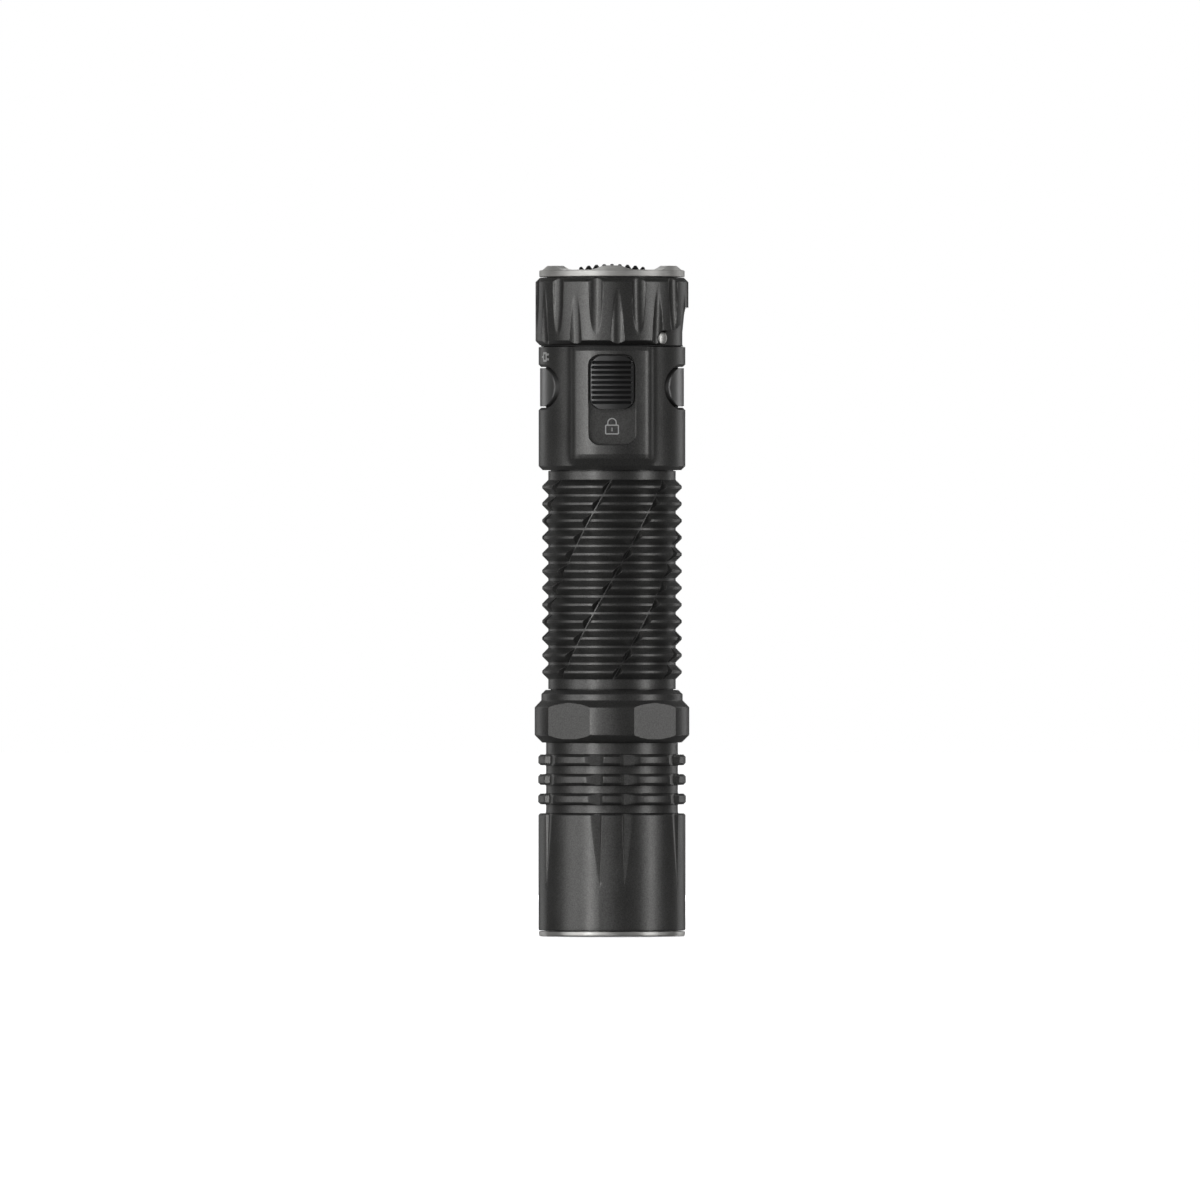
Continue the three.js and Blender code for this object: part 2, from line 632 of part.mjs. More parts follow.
function gripRing() {
  const blank = turned([
    [RING_BORE_R, RING_LOW], [RING_R - RING_CHAMFER, RING_LOW], [RING_R, RING_LOW + RING_CHAMFER],
    [RING_R, RING_TOP - RING_CHAMFER], [RING_R - RING_CHAMFER, RING_TOP], [CROWN_SEAT_R, RING_TOP],
    [CROWN_SEAT_R, CROWN_SEAT_Z], [RING_HOLE_R, CROWN_SEAT_Z], [RING_HOLE_R, RING_ROOF],
    [RING_BORE_R, RING_ROOF],
  ], 44);
  const tools = [];
  for (let i = 0; i < FLUTES; i += 1) {
    const turn = (360 / FLUTES) * i;
    tools.push(flute(FLUTE_TAIL_AZIMUTH + turn, RING_TOP, FLUTE_TAIL_TIP));
    tools.push(flute(FLUTE_HEAD_AZIMUTH + turn, RING_LOW, FLUTE_HEAD_TIP));
  }
  tools.push(notch(), pinHole(LANYARD_PIN_AZIMUTH), pinHole(180 - LANYARD_PIN_AZIMUTH));
  return cut(blank, tools);
}

// The steel crown: a band with a seat below and blunt teeth above
function crownRing() {
  const band = turned([
    [CROWN_BORE_R, CROWN_SEAT_Z + GAP], [CROWN_SEAT_R - SEAM, CROWN_SEAT_Z + GAP],
    [CROWN_SEAT_R - SEAM, CROWN_LOW], [CROWN_R - 0.3, CROWN_LOW], [CROWN_R, CROWN_LOW + 0.3],
    [CROWN_R, CROWN_BAND_TOP - 0.5], [CROWN_R - 0.5, CROWN_BAND_TOP - 0.1], [11.4, CROWN_BAND_TOP],
    [CROWN_BORE_R + 0.9, CROWN_BAND_TOP], [CROWN_BORE_R, CROWN_BAND_TOP - 0.9],
  ], 36);
  const teeth = [];
  for (let i = 0; i < CROWN_TEETH; i += 1) {
    const lift = CROWN_TOP - CROWN_BAND_TOP;
    const outline = new THREE.Shape();
    outline.moveTo(-TOOTH_BASE_HALF, -EDGE);
    outline.lineTo(TOOTH_BASE_HALF, -EDGE);
    outline.quadraticCurveTo(TOOTH_TOP_HALF + 1.2, 0.1, TOOTH_TOP_HALF, lift);
    outline.lineTo(-TOOTH_TOP_HALF, lift);
    outline.quadraticCurveTo(-TOOTH_TOP_HALF - 1.2, 0.1, -TOOTH_BASE_HALF, -EDGE);
    const tooth = prism(outline, 9.4, 13, 3).rotateX(Math.PI / 2).translate(0, 0, CROWN_BAND_TOP);
    teeth.push(tooth.rotateZ((2 * Math.PI / CROWN_TEETH) * i));
  }
  const rim = turned([[0, CROWN_LOW + 0.5], [CROWN_R - 0.4, CROWN_LOW + 0.5],
    [CROWN_R - 0.4, CROWN_BAND_TOP - 0.15], [11.45, CROWN_TOP], [0, CROWN_TOP]], 36);
  return join(band, teeth.map((tooth) => common(tooth, rim)));
}

// The rubber tail button: a low dome with a grid of pyramid studs and a flange below
function tailButton() {
  const cap = turned([
    [0, BUTTON_LOW], [BUTTON_FLANGE_R, BUTTON_LOW], [BUTTON_FLANGE_R, BUTTON_FLANGE_TOP],
    [BUTTON_R, BUTTON_FLANGE_TOP], [BUTTON_R, BUTTON_SHOULDER],
    [BUTTON_R - 0.5, BUTTON_SHOULDER + 0.45], [4.4, BUTTON_DOME - 0.3],
    [2.2, BUTTON_DOME - 0.07], [0, BUTTON_DOME],
  ], 20);
  const studs = [];
  for (let i = -4; i <= 4; i += 1) {
    for (let j = -4; j <= 4; j += 1) {
      const [x, y] = [i * BUTTON_PITCH, j * BUTTON_PITCH];
      const r = Math.hypot(x, y);
      if (r < BUTTON_R - 0.7) {
        const top = BUTTON_TOP - 0.5 * (r / BUTTON_R) ** 2;
        const stud = new THREE.ConeGeometry(STUD_R, STUD_HEIGHT, 4).rotateY(Math.PI / 4);
        studs.push(stud.rotateX(Math.PI / 2).translate(x, y, top - STUD_HEIGHT / 2));
      }
    }
  }
  return join(cap, studs);
}

function switchFrame() {
  return turned([[7.9, 98.6], [10.5, 98.6], [10.5, 108.6], [9.6, 108.6], [9.6, 104.6],
    [7.9, 104.6]], 24);
}

function tailSwitch() {
  return turned([[1.75, 107.2], [4.0, 107.2], [4.0, 108.3], [1.75, 108.3]], 20);
}

function controlBoard() {
  const plate = disc(BOARD_R, BOARD_LOW, BOARD_TOP, 32);
  return cut(plate, [block(BOARD_CUT_X + 4, 0, (BOARD_LOW + BOARD_TOP) / 2, 8, 24, 3)]);
}

const group = new THREE.Group();
group.name = 'flashlight';
const head = new THREE.Group();
const tube = new THREE.Group();
const tail = new THREE.Group();
group.add(head, tube, tail);

function place(parent, name, geometry, color, roughness, metalness) {
  const material = new THREE.MeshStandardMaterial({ color, roughness, metalness });
  material.name = name;
  const mesh = new THREE.Mesh(closed(geometry), material);
  mesh.geometry.computeVertexNormals();
  mesh.name = name;
  parent.add(mesh);
  return mesh;
}

// Head, front to back
place(head, 'front_bezel', frontBezel(), STEEL, 0.3, 1);
place(head, 'lens_seal', sealRing(LENS_SEAL_R, LENS_SEAL_SECTION, LENS_SEAL_Z, 20),
  BLACK_RUBBER, 0.8, 0);
place(head, 'lens', disc(LENS_R, LENS_FRONT, LENS_FRONT + LENS_THICK, 36), 0xdfe8ea, 0.05, 0);
place(head, 'reflector', reflector(), 0xd8d8d6, 0.08, 1);
place(head, 'led_collar', ring(2.1, 3.0, 12.2, 13.2, 20), 0xe6e4dc, 0.6, 0);
place(head, 'led_emitter', join(block(0, 0, 12.9, 2.6, 2.6, 0.6), [
  new THREE.SphereGeometry(1.1, 12, 8).scale(1, 1, 0.6).translate(0, 0, 12.62),
]), 0xe3c25a, 0.3, 0);
place(head, 'led_board', disc(9.5, LED_BOARD_FRONT, LED_BOARD_FRONT + LED_BOARD_THICK, 32),
  0xb87a4b, 0.4, 1);
place(head, 'head_body', headBody(), ANODISED, 0.55, 0.6);
place(head, 'driver_board', disc(9.2, 18.4, 19.4, 24), BOARD_GREEN, 0.5, 0);
place(head, 'driver_chip', block(4.2, 0, 18.05, 4, 4, 0.5), BLACK_PLASTIC, 0.4, 0);
place(head, 'driver_ring', ring(7.4, 9.2, 19.7, 21.2, 20), BRASS, 0.35, 1);
place(head, 'head_contact', turned([[0, 19.7], [3.4, 19.7], [3.4, 20.5], [2.4, 20.9], [2.4, 22.0],
  [0, 22.0]], 20), BRASS, 0.3, 1);

// Battery tube and cell
place(tube, 'battery_tube', batteryTube(), ANODISED, 0.55, 0.6);
const grooveMid = SEAL_GROOVE_WIDTH / 2;
place(tube, 'front_seal', sealRing(SEAL_RING_R, SEAL_SECTION, FRONT_GROOVE + grooveMid, 20),
  BLACK_RUBBER, 0.8, 0);
place(tube, 'back_seal', sealRing(SEAL_RING_R, SEAL_SECTION, BACK_GROOVE + grooveMid, 20),
  BLACK_RUBBER, 0.8, 0);
place(tube, 'battery_cell', turned([[0, CELL_FRONT + 0.9], [8.6, CELL_FRONT + 0.9],
  [CELL_R, CELL_FRONT + 1.5], [CELL_R, CELL_FRONT + CELL_LENGTH - 0.4],
  [CELL_R - 0.4, CELL_FRONT + CELL_LENGTH], [0, CELL_FRONT + CELL_LENGTH]], 28), 0x2f5f9e, 0.45, 0);
place(tube, 'cell_cap', disc(3.6, CELL_FRONT, CELL_FRONT + 0.7, 20), STEEL, 0.3, 1);

// Tail housing and what it holds
place(tail, 'tail_spring', coil(0.8, 4, 87.99, 90.2, 6.6, 2.8), BRASS, 0.3, 1);
place(tail, 'control_board', controlBoard(), BOARD_GREEN, 0.5, 0);
place(tail, 'control_chip', block(-0.4, 4.4, 92.75, 4, 4, 0.8), BLACK_PLASTIC, 0.4, 0);
place(tail, 'usb_socket', usbSocket(), STEEL, 0.3, 1);
place(tail, 'usb_tongue', block(-6.75, 0, SIDE_Z, 4.1, 6.6, 0.7), BLACK_PLASTIC, 0.4, 0);
place(tail, 'port_frame', portFrame(), BLACK_PLASTIC, 0.6, 0);
place(tail, 'port_cover', portCover(), BLACK_RUBBER, 0.7, 0);
place(tail, 'mode_switch', join(block(3.8, 0, 94.2, 2.8, 4.5, 3.4),
  [pinAlongX(0.9, 5.0, 6.5, 0, SIDE_Z, 12)]), BLACK_PLASTIC, 0.4, 0);
place(tail, 'mode_button', modeButton(), BLACK_RUBBER, 0.7, 0);
place(tail, 'tail_housing', tailHousing(), ANODISED, 0.55, 0.6);
place(tail, 'lock_slider', lockSlider(), BLACK_PLASTIC, 0.5, 0);
place(tail, 'slider_magnet', new THREE.CylinderGeometry(MAGNET_R, MAGNET_R, 0.7, 16)
  .translate(MAGNET_X, -12.6, MAGNET_Z), STEEL, 0.3, 1);
place(tail, 'detent_ball', new THREE.SphereGeometry(DETENT_BALL_R, 8, 6)
  .translate(0, -12, DETENT_Z), STEEL, 0.2, 1);
place(tail, 'detent_leaf', detentLeaf(), STEEL, 0.3, 1);
place(tail, 'lock_sensor', block(MAGNET_X, -8.6, MAGNET_Z, 2.8, 1.4, 1.8), BLACK_PLASTIC, 0.4, 0);

// Grip ring, crown and tail switch
place(tail, 'grip_ring', gripRing(), ANODISED, 0.55, 0.6);
place(tail, 'lanyard_pin_front', lanyardPin(LANYARD_PIN_AZIMUTH), STEEL, 0.3, 1);
place(tail, 'lanyard_pin_back', lanyardPin(180 - LANYARD_PIN_AZIMUTH), STEEL, 0.3, 1);
place(tail, 'crown_ring', crownRing(), STEEL, 0.3, 1);
place(tail, 'switch_frame', switchFrame(), BLACK_PLASTIC, 0.6, 0);
place(tail, 'switch_board', disc(9.3, 105.7, 106.9, 24), BOARD_GREEN, 0.5, 0);
place(tail, 'tail_switch', tailSwitch(), STEEL, 0.4, 1);
place(tail, 'switch_plunger', disc(1.45, 108.9, 109.6, 14), BLACK_PLASTIC, 0.4, 0);
place(tail, 'button_spring', coil(0.5, 2.5, 107.5, 109.2, 5.3, 5.3), STEEL, 0.3, 1);
place(tail, 'tail_button', tailButton(), BLACK_RUBBER, 0.75, 0);

export default group;
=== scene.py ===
import json
import math

import bmesh
import bpy
import numpy as np
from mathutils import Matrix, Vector


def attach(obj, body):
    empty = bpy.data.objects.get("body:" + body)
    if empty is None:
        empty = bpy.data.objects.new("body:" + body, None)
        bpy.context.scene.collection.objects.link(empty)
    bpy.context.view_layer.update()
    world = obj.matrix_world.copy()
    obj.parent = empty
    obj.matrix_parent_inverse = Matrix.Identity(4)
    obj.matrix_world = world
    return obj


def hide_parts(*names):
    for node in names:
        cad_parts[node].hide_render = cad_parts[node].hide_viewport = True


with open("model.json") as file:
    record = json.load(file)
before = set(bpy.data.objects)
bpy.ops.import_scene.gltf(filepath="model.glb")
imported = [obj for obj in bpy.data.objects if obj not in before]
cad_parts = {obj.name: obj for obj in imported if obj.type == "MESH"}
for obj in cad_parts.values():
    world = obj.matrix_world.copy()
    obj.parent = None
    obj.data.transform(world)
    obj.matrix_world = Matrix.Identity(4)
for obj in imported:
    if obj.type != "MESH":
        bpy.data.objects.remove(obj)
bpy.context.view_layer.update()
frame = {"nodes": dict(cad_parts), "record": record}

# The light stands on its head: +Z runs to the tail, -Y faces the camera. Lengths are in
# millimetres until a mesh is made. Azimuths are degrees from -Y, growing towards +X.
MM = 0.001
TAU = 2 * math.pi
NO_LIMIT = 99

# Front rim and optics
BEZEL_R = 12.6
BEZEL_FACE = 0.86
BEZEL_SKIRT_R = 10.7
BEZEL_SKIRT_END = 1.4
WINDOW_R = 9.9
LENS_SEAL_R = 10.25
LENS_SEAL_SECTION = 0.4
LENS_SEAL_Z = 2.1
LENS_R = 10.6
LENS_FRONT = 2.8
LENS_BACK = 4.3
REFLECTOR_FRONT = 4.6
REFLECTOR_BACK = 13.0
REFLECTOR_RIM = 9.7
REFLECTOR_OUTSIDE = ((10.6, 4.6), (10.6, 5.5), (10.1, 5.5), (8.6, 8.9), (6.6, 11.2), (5.4, 13.0))
LED_HOLE_R = 3.3

# Head body
HEAD_FRONT = 0.98
HEAD_R = 12.69
HEAD_STEP = 21.2
HEAD_EDGE = 0.3
FIN_R = 12.75
FIN_ROOT_R = 11.37
FIN_STARTS = (22.75, 26.11, 29.5)
FIN_THICK = 1.85
FIN_EDGE = 0.4
ROLL_RING_LOW = 33.4
ROLL_RING_TOP = 40.7
ROLL_RING_R = 13.35
ROLL_FLAT = 12.6
COLLAR_R = 12.2
HEAD_END = 42.5
THREAD_BORE_R = 10.9
OPTIC_BORE_R = 10.95
CELL_BORE_R = 9.6
SHELF_FRONT = 15.0
SHELF_BACK = 17.6
FACET_Z = 7.4
FACET_R = 12.55
FACET_SLOPE = 0.0306
FACET_END_Z = 32.2
FACET_RIB_HALF = 2.125
FACETS = 5
FACET_STEP = 360 / FACETS
ROLL_FLAT_FROM = 32.5
ROLL_RING_BEVEL = 1.3
ROLL_BACK_BEVEL = 1.21
COLLAR_CHAMFER = 0.75
BOARD_BORE_R = 9.9
WIRE_HOLE_R = 0.3

# Battery tube
TUBE_R = 11.0
TUBE_BORE_R = 9.5
TUBE_FRONT = 34.3
TUBE_BACK = 88.4
TUBE_SHOULDER_FRONT = HEAD_END + 0.12
TUBE_SHOULDER_BACK = 80.28
THREAD_R = 10.6
THREAD_ROOT_R = 10.15
THREAD_PITCH = 1.25
THREAD_END = 40.2
SEAL_GROOVE_R = 10.0
FRONT_GROOVE = (40.8, 41.9)
BACK_GROOVE = (81.0, 82.1)
SEAL_RING_R = 10.5
SEAL_SECTION = 0.32
RIBS = 12
RIB_PITCH = 2.9
RIB_PEAK_R = 12.05
RIB_CREST_HALF = 0.21
FIRST_RIB = 45.58
CUTS = 7
CUT_SECTOR = 360 / CUTS
CUT_LAST_AZIMUTH = -4.0
CUT_STEP = CUT_SECTOR / 6
CUT_FLOOR_HALF = 0.1
CUT_WALL_RUN = 0.6

# Tail housing
HOUSING_LOW = 80.4
HOUSING_TOP = 101.75
HOUSING_R = 12.66
HOUSING_CHAMFER = 0.7
LEDGE_LOW = 88.8
LEDGE_TOP = 90.6
LEDGE_R = 9.7
POCKET_R = 10.8
SEAM_SEAL_R = 12.25
DETENT_Z = 92.35
DETENT_HOLE_R = 0.8
PAD_R = 13.8
SLOT_HALF = 4.05
SLOT_LOW = 84.75
SLOT_TOP = 100.2
SLOT_CORNER = 1.95
SLOT_FLOOR = 12.0
SIDE_Z = 94.7
SIDE_HALF = 8.46
SIDE_RADIUS = 3.52
SIDE_CHAMFER = 0.42
INSERT_R = 12.42
INSERT_HALF = 7.5
INSERT_RADIUS = 3.3
SEAL_TOP_R = 11.4
SEAL_FLOOR_R = 10.9
PORT_COVER_BACK_R = 11.3
BUTTON_BACK_R = 10.3
PORT_FRAME_R = 11.0
PORT_FRAME_BACK_R = 10.15
PORT_HOLE_HALF = (4.75, 1.9)
SOCKET_HALF = (4.47, 1.63)
SOCKET_MOUTH_HALF = (4.17, 1.33)

# Lock slider
SLIDER_HALF = 3.8
SLIDER_LOW = 90.87
SLIDER_TOP = 100.02
SLIDER_MID = (SLIDER_LOW + SLIDER_TOP) / 2
SLIDER_END = (SLIDER_TOP - SLIDER_LOW) / 2
SLIDER_R = 13.85
SLIDER_CORNER = 2.0
# How far the black foot under the slider reaches past it; the foot is painted shade for the gap
# round the slider.
SHADE_FOOT_REACH = 0.12
GROOVE_DEPTH = 0.4
GROOVE_PITCH = 0.863
GROOVE_SHARE = 0.62
GROOVE_REACH_X = 3.45
GROOVE_REACH_Z = 3.75

# Grip ring, crown and tail button
RING_LOW = 101.95
RING_TOP = 113.6
RING_R = 13.2
RING_CHAMFER = 0.75
RING_BORE_R = 10.9
RING_ROOF = 111.2
RING_HOLE_R = 6.2
CROWN_SEAT_R = 9.8
CROWN_SEAT_Z = 112.5
FLUTES = 11
FLUTE_RADIUS = 1.85
FLUTE_DEPTH = 0.55
FLUTE_TAIL_AZIMUTH = -12.2
FLUTE_HEAD_AZIMUTH = 4.2
FLUTE_TAIL_TIP = 103.9
FLUTE_HEAD_TIP = 111.4
NOTCH_R = 12.15
NOTCH_STEP = 104.2
NOTCH_TOP = 108.4
NOTCH_HALF = 9.8
NOTCH_ROOF_HALF = 3.6
NOTCH_LEAN = 0.5
PIN_R = 1.08
PIN_AZIMUTH = 44
PIN_Z = 103.1
PIN_INNER = 11.55
PIN_OUTER = 12.75
CROWN_LOW = 113.72
CROWN_BAND_TOP = 114.9
CROWN_TOP = 115.62
CROWN_R = 12.55
CROWN_EDGE = 0.2
CROWN_BORE_R = 8.4
CROWN_FOOT = 112.8
RAMP_SHARE = 0.8
RAMP_RISE = 0.82
CROWN_TEETH = 6
TOOTH_TOP_HALF = 1.35
TOOTH_BASE_HALF = 3.9
BUTTON_R = 5.9
BUTTON_SHOULDER = 114.6
BUTTON_FLANGE_R = 7.4
BUTTON_FLANGE_TOP = 110.9
BUTTON_LOW = 109.9
BUTTON_TOP = 116.0
BUTTON_DROP = 0.6
BUTTON_PITCH = 1.35
STUD_HEIGHT = 0.67
STUD_SLOPE = 1.12
STUD_TOP = 0.8

# Markings
PRINT_LIFT = 0.004
PRINT_THICK = 0.03
CLOSED_LOCK_Z = 87.9
OPEN_LOCK_Z = 97.2
PLUG_AZIMUTH = -66.0
PLUG_Z = 99.9

# Studio, in metres but for the floor's reach
ROOM_LIGHT = 0.1
FLOOR_SUN = 1.6
FLOOR_GLOW = 0.55
FLOOR_REACH = 6000.0
FLOOR_DROP = 0.0001
AIM_HEIGHT = 0.058
CAMERA_DISTANCE = 5.0
CAMERA_X = -0.00207
FRAME_HEIGHT = 0.2071
SENSOR = 36


# ---- Mesh building

def points(x, y, z):
    """Points from coordinates that broadcast against each other."""
    return np.stack(np.broadcast_arrays(x, y, z), axis=-1)


def around(azimuth, radius, z):
    """Points at azimuths in degrees, radii and heights, all arrays that broadcast."""
    a = np.radians(azimuth)
    return points(radius * np.sin(a), -radius * np.cos(a), z)


def rounded(corners, steps=3):
    """A closed or open outline of (r, z, bevel) corners with each bevel drawn as an arc."""
    out = []
    count = len(corners)
    for i, corner in enumerate(corners):
        here = np.array(corner[:2], float)
        bevel = corner[2] if len(corner) > 2 else 0
        if not bevel:
            out.append(here)
            continue
        before = np.array(corners[i - 1][:2], float) - here
        after = np.array(corners[(i + 1) % count][:2], float) - here
        start = here + before / np.linalg.norm(before) * bevel
        end = here + after / np.linalg.norm(after) * bevel
        for t in np.linspace(0, 1, steps + 1):
            out.append((1 - t) ** 2 * start + 2 * t * (1 - t) * here + t * t * end)
    return out


def refined(outline, step):
    """The same outline with no stretch longer than step."""
    out = [outline[0]]
    for a, b in zip(outline, outline[1:]):
        parts = max(1, math.ceil(np.linalg.norm(b - a) / step - 1e-6))
        out += [a + (b - a) * k / parts for k in range(1, parts + 1)]
    return out


def new_mesh(name, verts, faces):
    """A mesh in metres from points in millimetres."""
    mesh = bpy.data.meshes.new(name)
    mesh.from_pydata((np.asarray(verts) * MM).tolist(), [], faces)
    return mesh


def new_object(name, data):
    thing = bpy.data.objects.new(name, data)
    bpy.context.collection.objects.link(thing)
    return thing


def placed(mesh, body, slot, nodes=(), sharp=32, look=None):
    """A mesh's piece, which rides on a body and stands for CAD nodes."""
    piece = new_object(mesh.name, mesh)
    tidy(piece, sharp)
    mesh.materials.append(MATERIALS[look or slot])
    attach(piece, body)
    if nodes:
        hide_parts(*nodes)
    return piece


def tidy(piece, sharp=32):
    """Merges doubled vertices, points faces outwards and shades smooth up to an angle."""
    mesh = piece.data
    bm = bmesh.new()
    bm.from_mesh(mesh)
    bmesh.ops.remove_doubles(bm, verts=bm.verts, dist=2e-6)
    bmesh.ops.dissolve_degenerate(bm, edges=bm.edges, dist=1e-7)
    bmesh.ops.recalc_face_normals(bm, faces=bm.faces)
    bm.to_mesh(mesh)
    bm.free()
    mesh.shade_smooth()
    mesh.set_sharp_from_angle(angle=math.radians(sharp))


def grid_faces(rows, columns, close_rows=False):
    """The squares of a grid whose rows are closed rings of points."""
    faces = []
    for i in range(rows if close_rows else rows - 1):
        here = i * columns
        above = (i + 1) % rows * columns
        for j in range(columns):
            k = (j + 1) % columns
            faces.append((here + j, here + k, above + k, above + j))
    return faces


def grid_piece(name, grid, body, slot, nodes=(), sharp=32, close_rows=True):
    """A piece from a [rows, columns, 3] grid of points that closes round both ways."""
    grid = np.array(grid)
    faces = grid_faces(*grid.shape[:2], close_rows)
    return placed(new_mesh(name, grid.reshape(-1, 3), faces), body, slot, nodes, sharp)


def capped_mesh(name, rings):
    """A closed mesh from rings of points, with a cap at each end."""
    rings = np.array(rings)
    rows, columns = rings.shape[:2]
    last = (rows - 1) * columns
    caps = [tuple(range(columns))[::-1], tuple(range(last, last + columns))]
    return new_mesh(name, rings.reshape(-1, 3), grid_faces(rows, columns) + caps)


def turned_piece(name, outline, body, slot, nodes=(), columns=192, sharp=32):
    """A solid of revolution; an outline that starts on the axis closes there."""
    azimuths = np.arange(columns) * 360 / columns
    grid = [around(azimuths, r, z) for r, z in outline]
    on_axis = outline[0][0] == 0
    return grid_piece(name, grid, body, slot, nodes, sharp, close_rows=not on_axis)


def ring_outline(radius, section, z, steps=20):
    turns = [TAU * i / steps for i in range(steps)]
    return [(radius + section * math.cos(a), z + section * math.sin(a)) for a in turns]


def cutter(rings):
    """A closed solid from rings of points to cut with."""
    tool = new_object("cutter", capped_mesh("cutter", rings))
    tidy(tool)
    return tool


def carve(piece, tools, sharp=32):
    """Cuts each tool out of the piece and deletes the tools."""
    for tool in tools:
        change = piece.modifiers.new("carve", "BOOLEAN")
        change.operation = "DIFFERENCE"
        change.solver = "EXACT"
        change.object = tool
    depsgraph = bpy.context.evaluated_depsgraph_get()
    cut_mesh = bpy.data.meshes.new_from_object(piece.evaluated_get(depsgraph))
    piece.modifiers.clear()
    piece.data = cut_mesh
    for tool in tools:
        bpy.data.objects.remove(tool)
    cut_mesh.shade_smooth()
    cut_mesh.set_sharp_from_angle(angle=math.radians(sharp))


def rounded_rect(half_x, half_z, corner, arc=10, side=6):
    """Points round a rectangle with round corners, centred on the origin."""
    bends = []
    for quarter, (sx, sz) in enumerate(((1, 1), (-1, 1), (-1, -1), (1, -1))):
        centre = np.array([sx * (half_x - corner), sz * (half_z - corner)])
        start = quarter * math.pi / 2
        for t in np.linspace(0, 1, arc + 1):
            a = start + t * math.pi / 2
            bends.append(centre + corner * np.array([math.cos(a), math.sin(a)]))
    out = []
    for a, b in zip(bends, bends[1:] + bends[:1]):
        parts = side if np.linalg.norm(b - a) > corner * 0.5 else 1
        out += [a + (b - a) * k / parts for k in range(parts)]
    return np.array(out)


# ---- Materials

class Paint:
    """A material under construction: its nodes and its Principled shader."""

    def __init__(self, name):
        self.material = bpy.data.materials.new(name)
        self.material.use_nodes = True
        self.nodes = self.material.node_tree.nodes
        self.links = self.material.node_tree.links
        self.shader = next(n for n in self.nodes if n.type == "BSDF_PRINCIPLED")

    def feed(self, node, inputs):
        """Sets a node's inputs by name, or links another node's output to them."""
        for name, value in inputs.items():
            if isinstance(value, bpy.types.NodeSocket):
                self.links.new(value, node.inputs[name])
            else:
                node.inputs[name].default_value = value

    def node(self, kind, inputs, output):
        """A new node's output."""
        node = self.nodes.new("ShaderNode" + kind)
        self.feed(node, inputs)
        return node.outputs[output]

    def point(self, stretch=(1, 1, 1)):
        """Object coordinates, stretched for lines that run one way."""
        spot = self.node("TexCoord", {}, "Object")
        return self.node("Mapping", {"Vector": spot, "Scale": stretch}, "Vector")

    def noise(self, vector, feature_mm, detail=3.0, rough=0.5):
        """Noise whose features are about feature_mm wide."""
        return self.node("TexNoise", {
            "Vector": vector, "Scale": 1 / (feature_mm * MM), "Detail": detail,
            "Roughness": rough}, "Fac")

    def ramp(self, value, dark, light, low=0.3, high=0.7):
        """A colour that goes from dark to light as value goes from low to high."""
        color = self.node("ValToRGB", {"Fac": value}, "Color")
        stops = color.node.color_ramp.elements
        for stop, place, shade in zip(stops, (low, high), (dark, light)):
            stop.position = place
            stop.color = (*shade, 1)
        return color

    def spread(self, value, low, high):
        """A number from low to high as value goes over the middle of a noise."""
        return self.node("MapRange", {
            "Value": value, "From Min": 0.3, "From Max": 0.7, "To Min": low,
            "To Max": high}, "Result")

    def multiplied(self, a, b):
        node = self.nodes.new("ShaderNodeMix")
        node.data_type = "RGBA"
        node.blend_type = "MULTIPLY"
        node.inputs["Factor"].default_value = 1.0
        for name, value in (("A", a), ("B", b)):
            socket = next(s for s in node.inputs if s.name == name and s.type == "RGBA")
            self.links.new(value, socket)
        return next(s for s in node.outputs if s.type == "RGBA")

    def bump(self, height, distance_mm, strength, normal=None):
        inputs = {"Height": height, "Distance": distance_mm * MM, "Strength": strength}
        if normal is not None:
            inputs["Normal"] = normal
        return self.node("Bump", inputs, "Normal")

    def finished(self, inputs):
        """The material, once the shader's inputs are set."""
        self.feed(self.shader, inputs)
        return self.material


def grey(value):
    return (value, value, value)


def grained(name, dark, light, rough, grain_mm, grain_strength, metallic=0.0, specular=0.5,
            coat=0.0):
    """A matte surface: fine grain, slow colour drift and a roughness that wanders."""
    paint = Paint(name)
    point = paint.point()
    grain = paint.noise(point, grain_mm, 4.0, 0.6)
    cloud = paint.noise(point, 6.0)
    return paint.finished({
        "Base Color": paint.multiplied(paint.ramp(cloud, dark, light),
                                       paint.ramp(grain, grey(0.78), grey(1))),
        "Roughness": paint.spread(cloud, rough - 0.04, rough + 0.05),
        "Normal": paint.bump(grain, 0.02, grain_strength),
        "Metallic": metallic,
        "Specular IOR Level": specular,
        "Coat Weight": coat,
        "Coat Roughness": 0.3,
    })


def anodised(name):
    """Bead-blasted, hard-anodised aluminium: dark grey, satin, with faint handling marks."""
    paint = Paint(name)
    point = paint.point()
    grain = paint.noise(point, 0.22, 3.0, 0.6)
    fine = paint.noise(point, 0.09, 2.0)
    cloud = paint.noise(point, 7.0)
    lines = paint.noise(paint.point((0.02, 0.02, 1)), 0.12, 2.0)
    drift = paint.ramp(cloud, (0.178, 0.177, 0.173), (0.202, 0.201, 0.197))
    speckle = paint.ramp(grain, grey(0.64), grey(1), 0.32, 0.68)
    blasted = paint.bump(fine, 0.008, 0.4, paint.bump(grain, 0.02, 0.5))
    return paint.finished({
        "Base Color": paint.multiplied(drift, speckle),
        "Roughness": paint.spread(cloud, 0.35, 0.4),
        "Normal": paint.bump(lines, 0.004, 0.12, blasted),
        "Metallic": 0.85,
    })


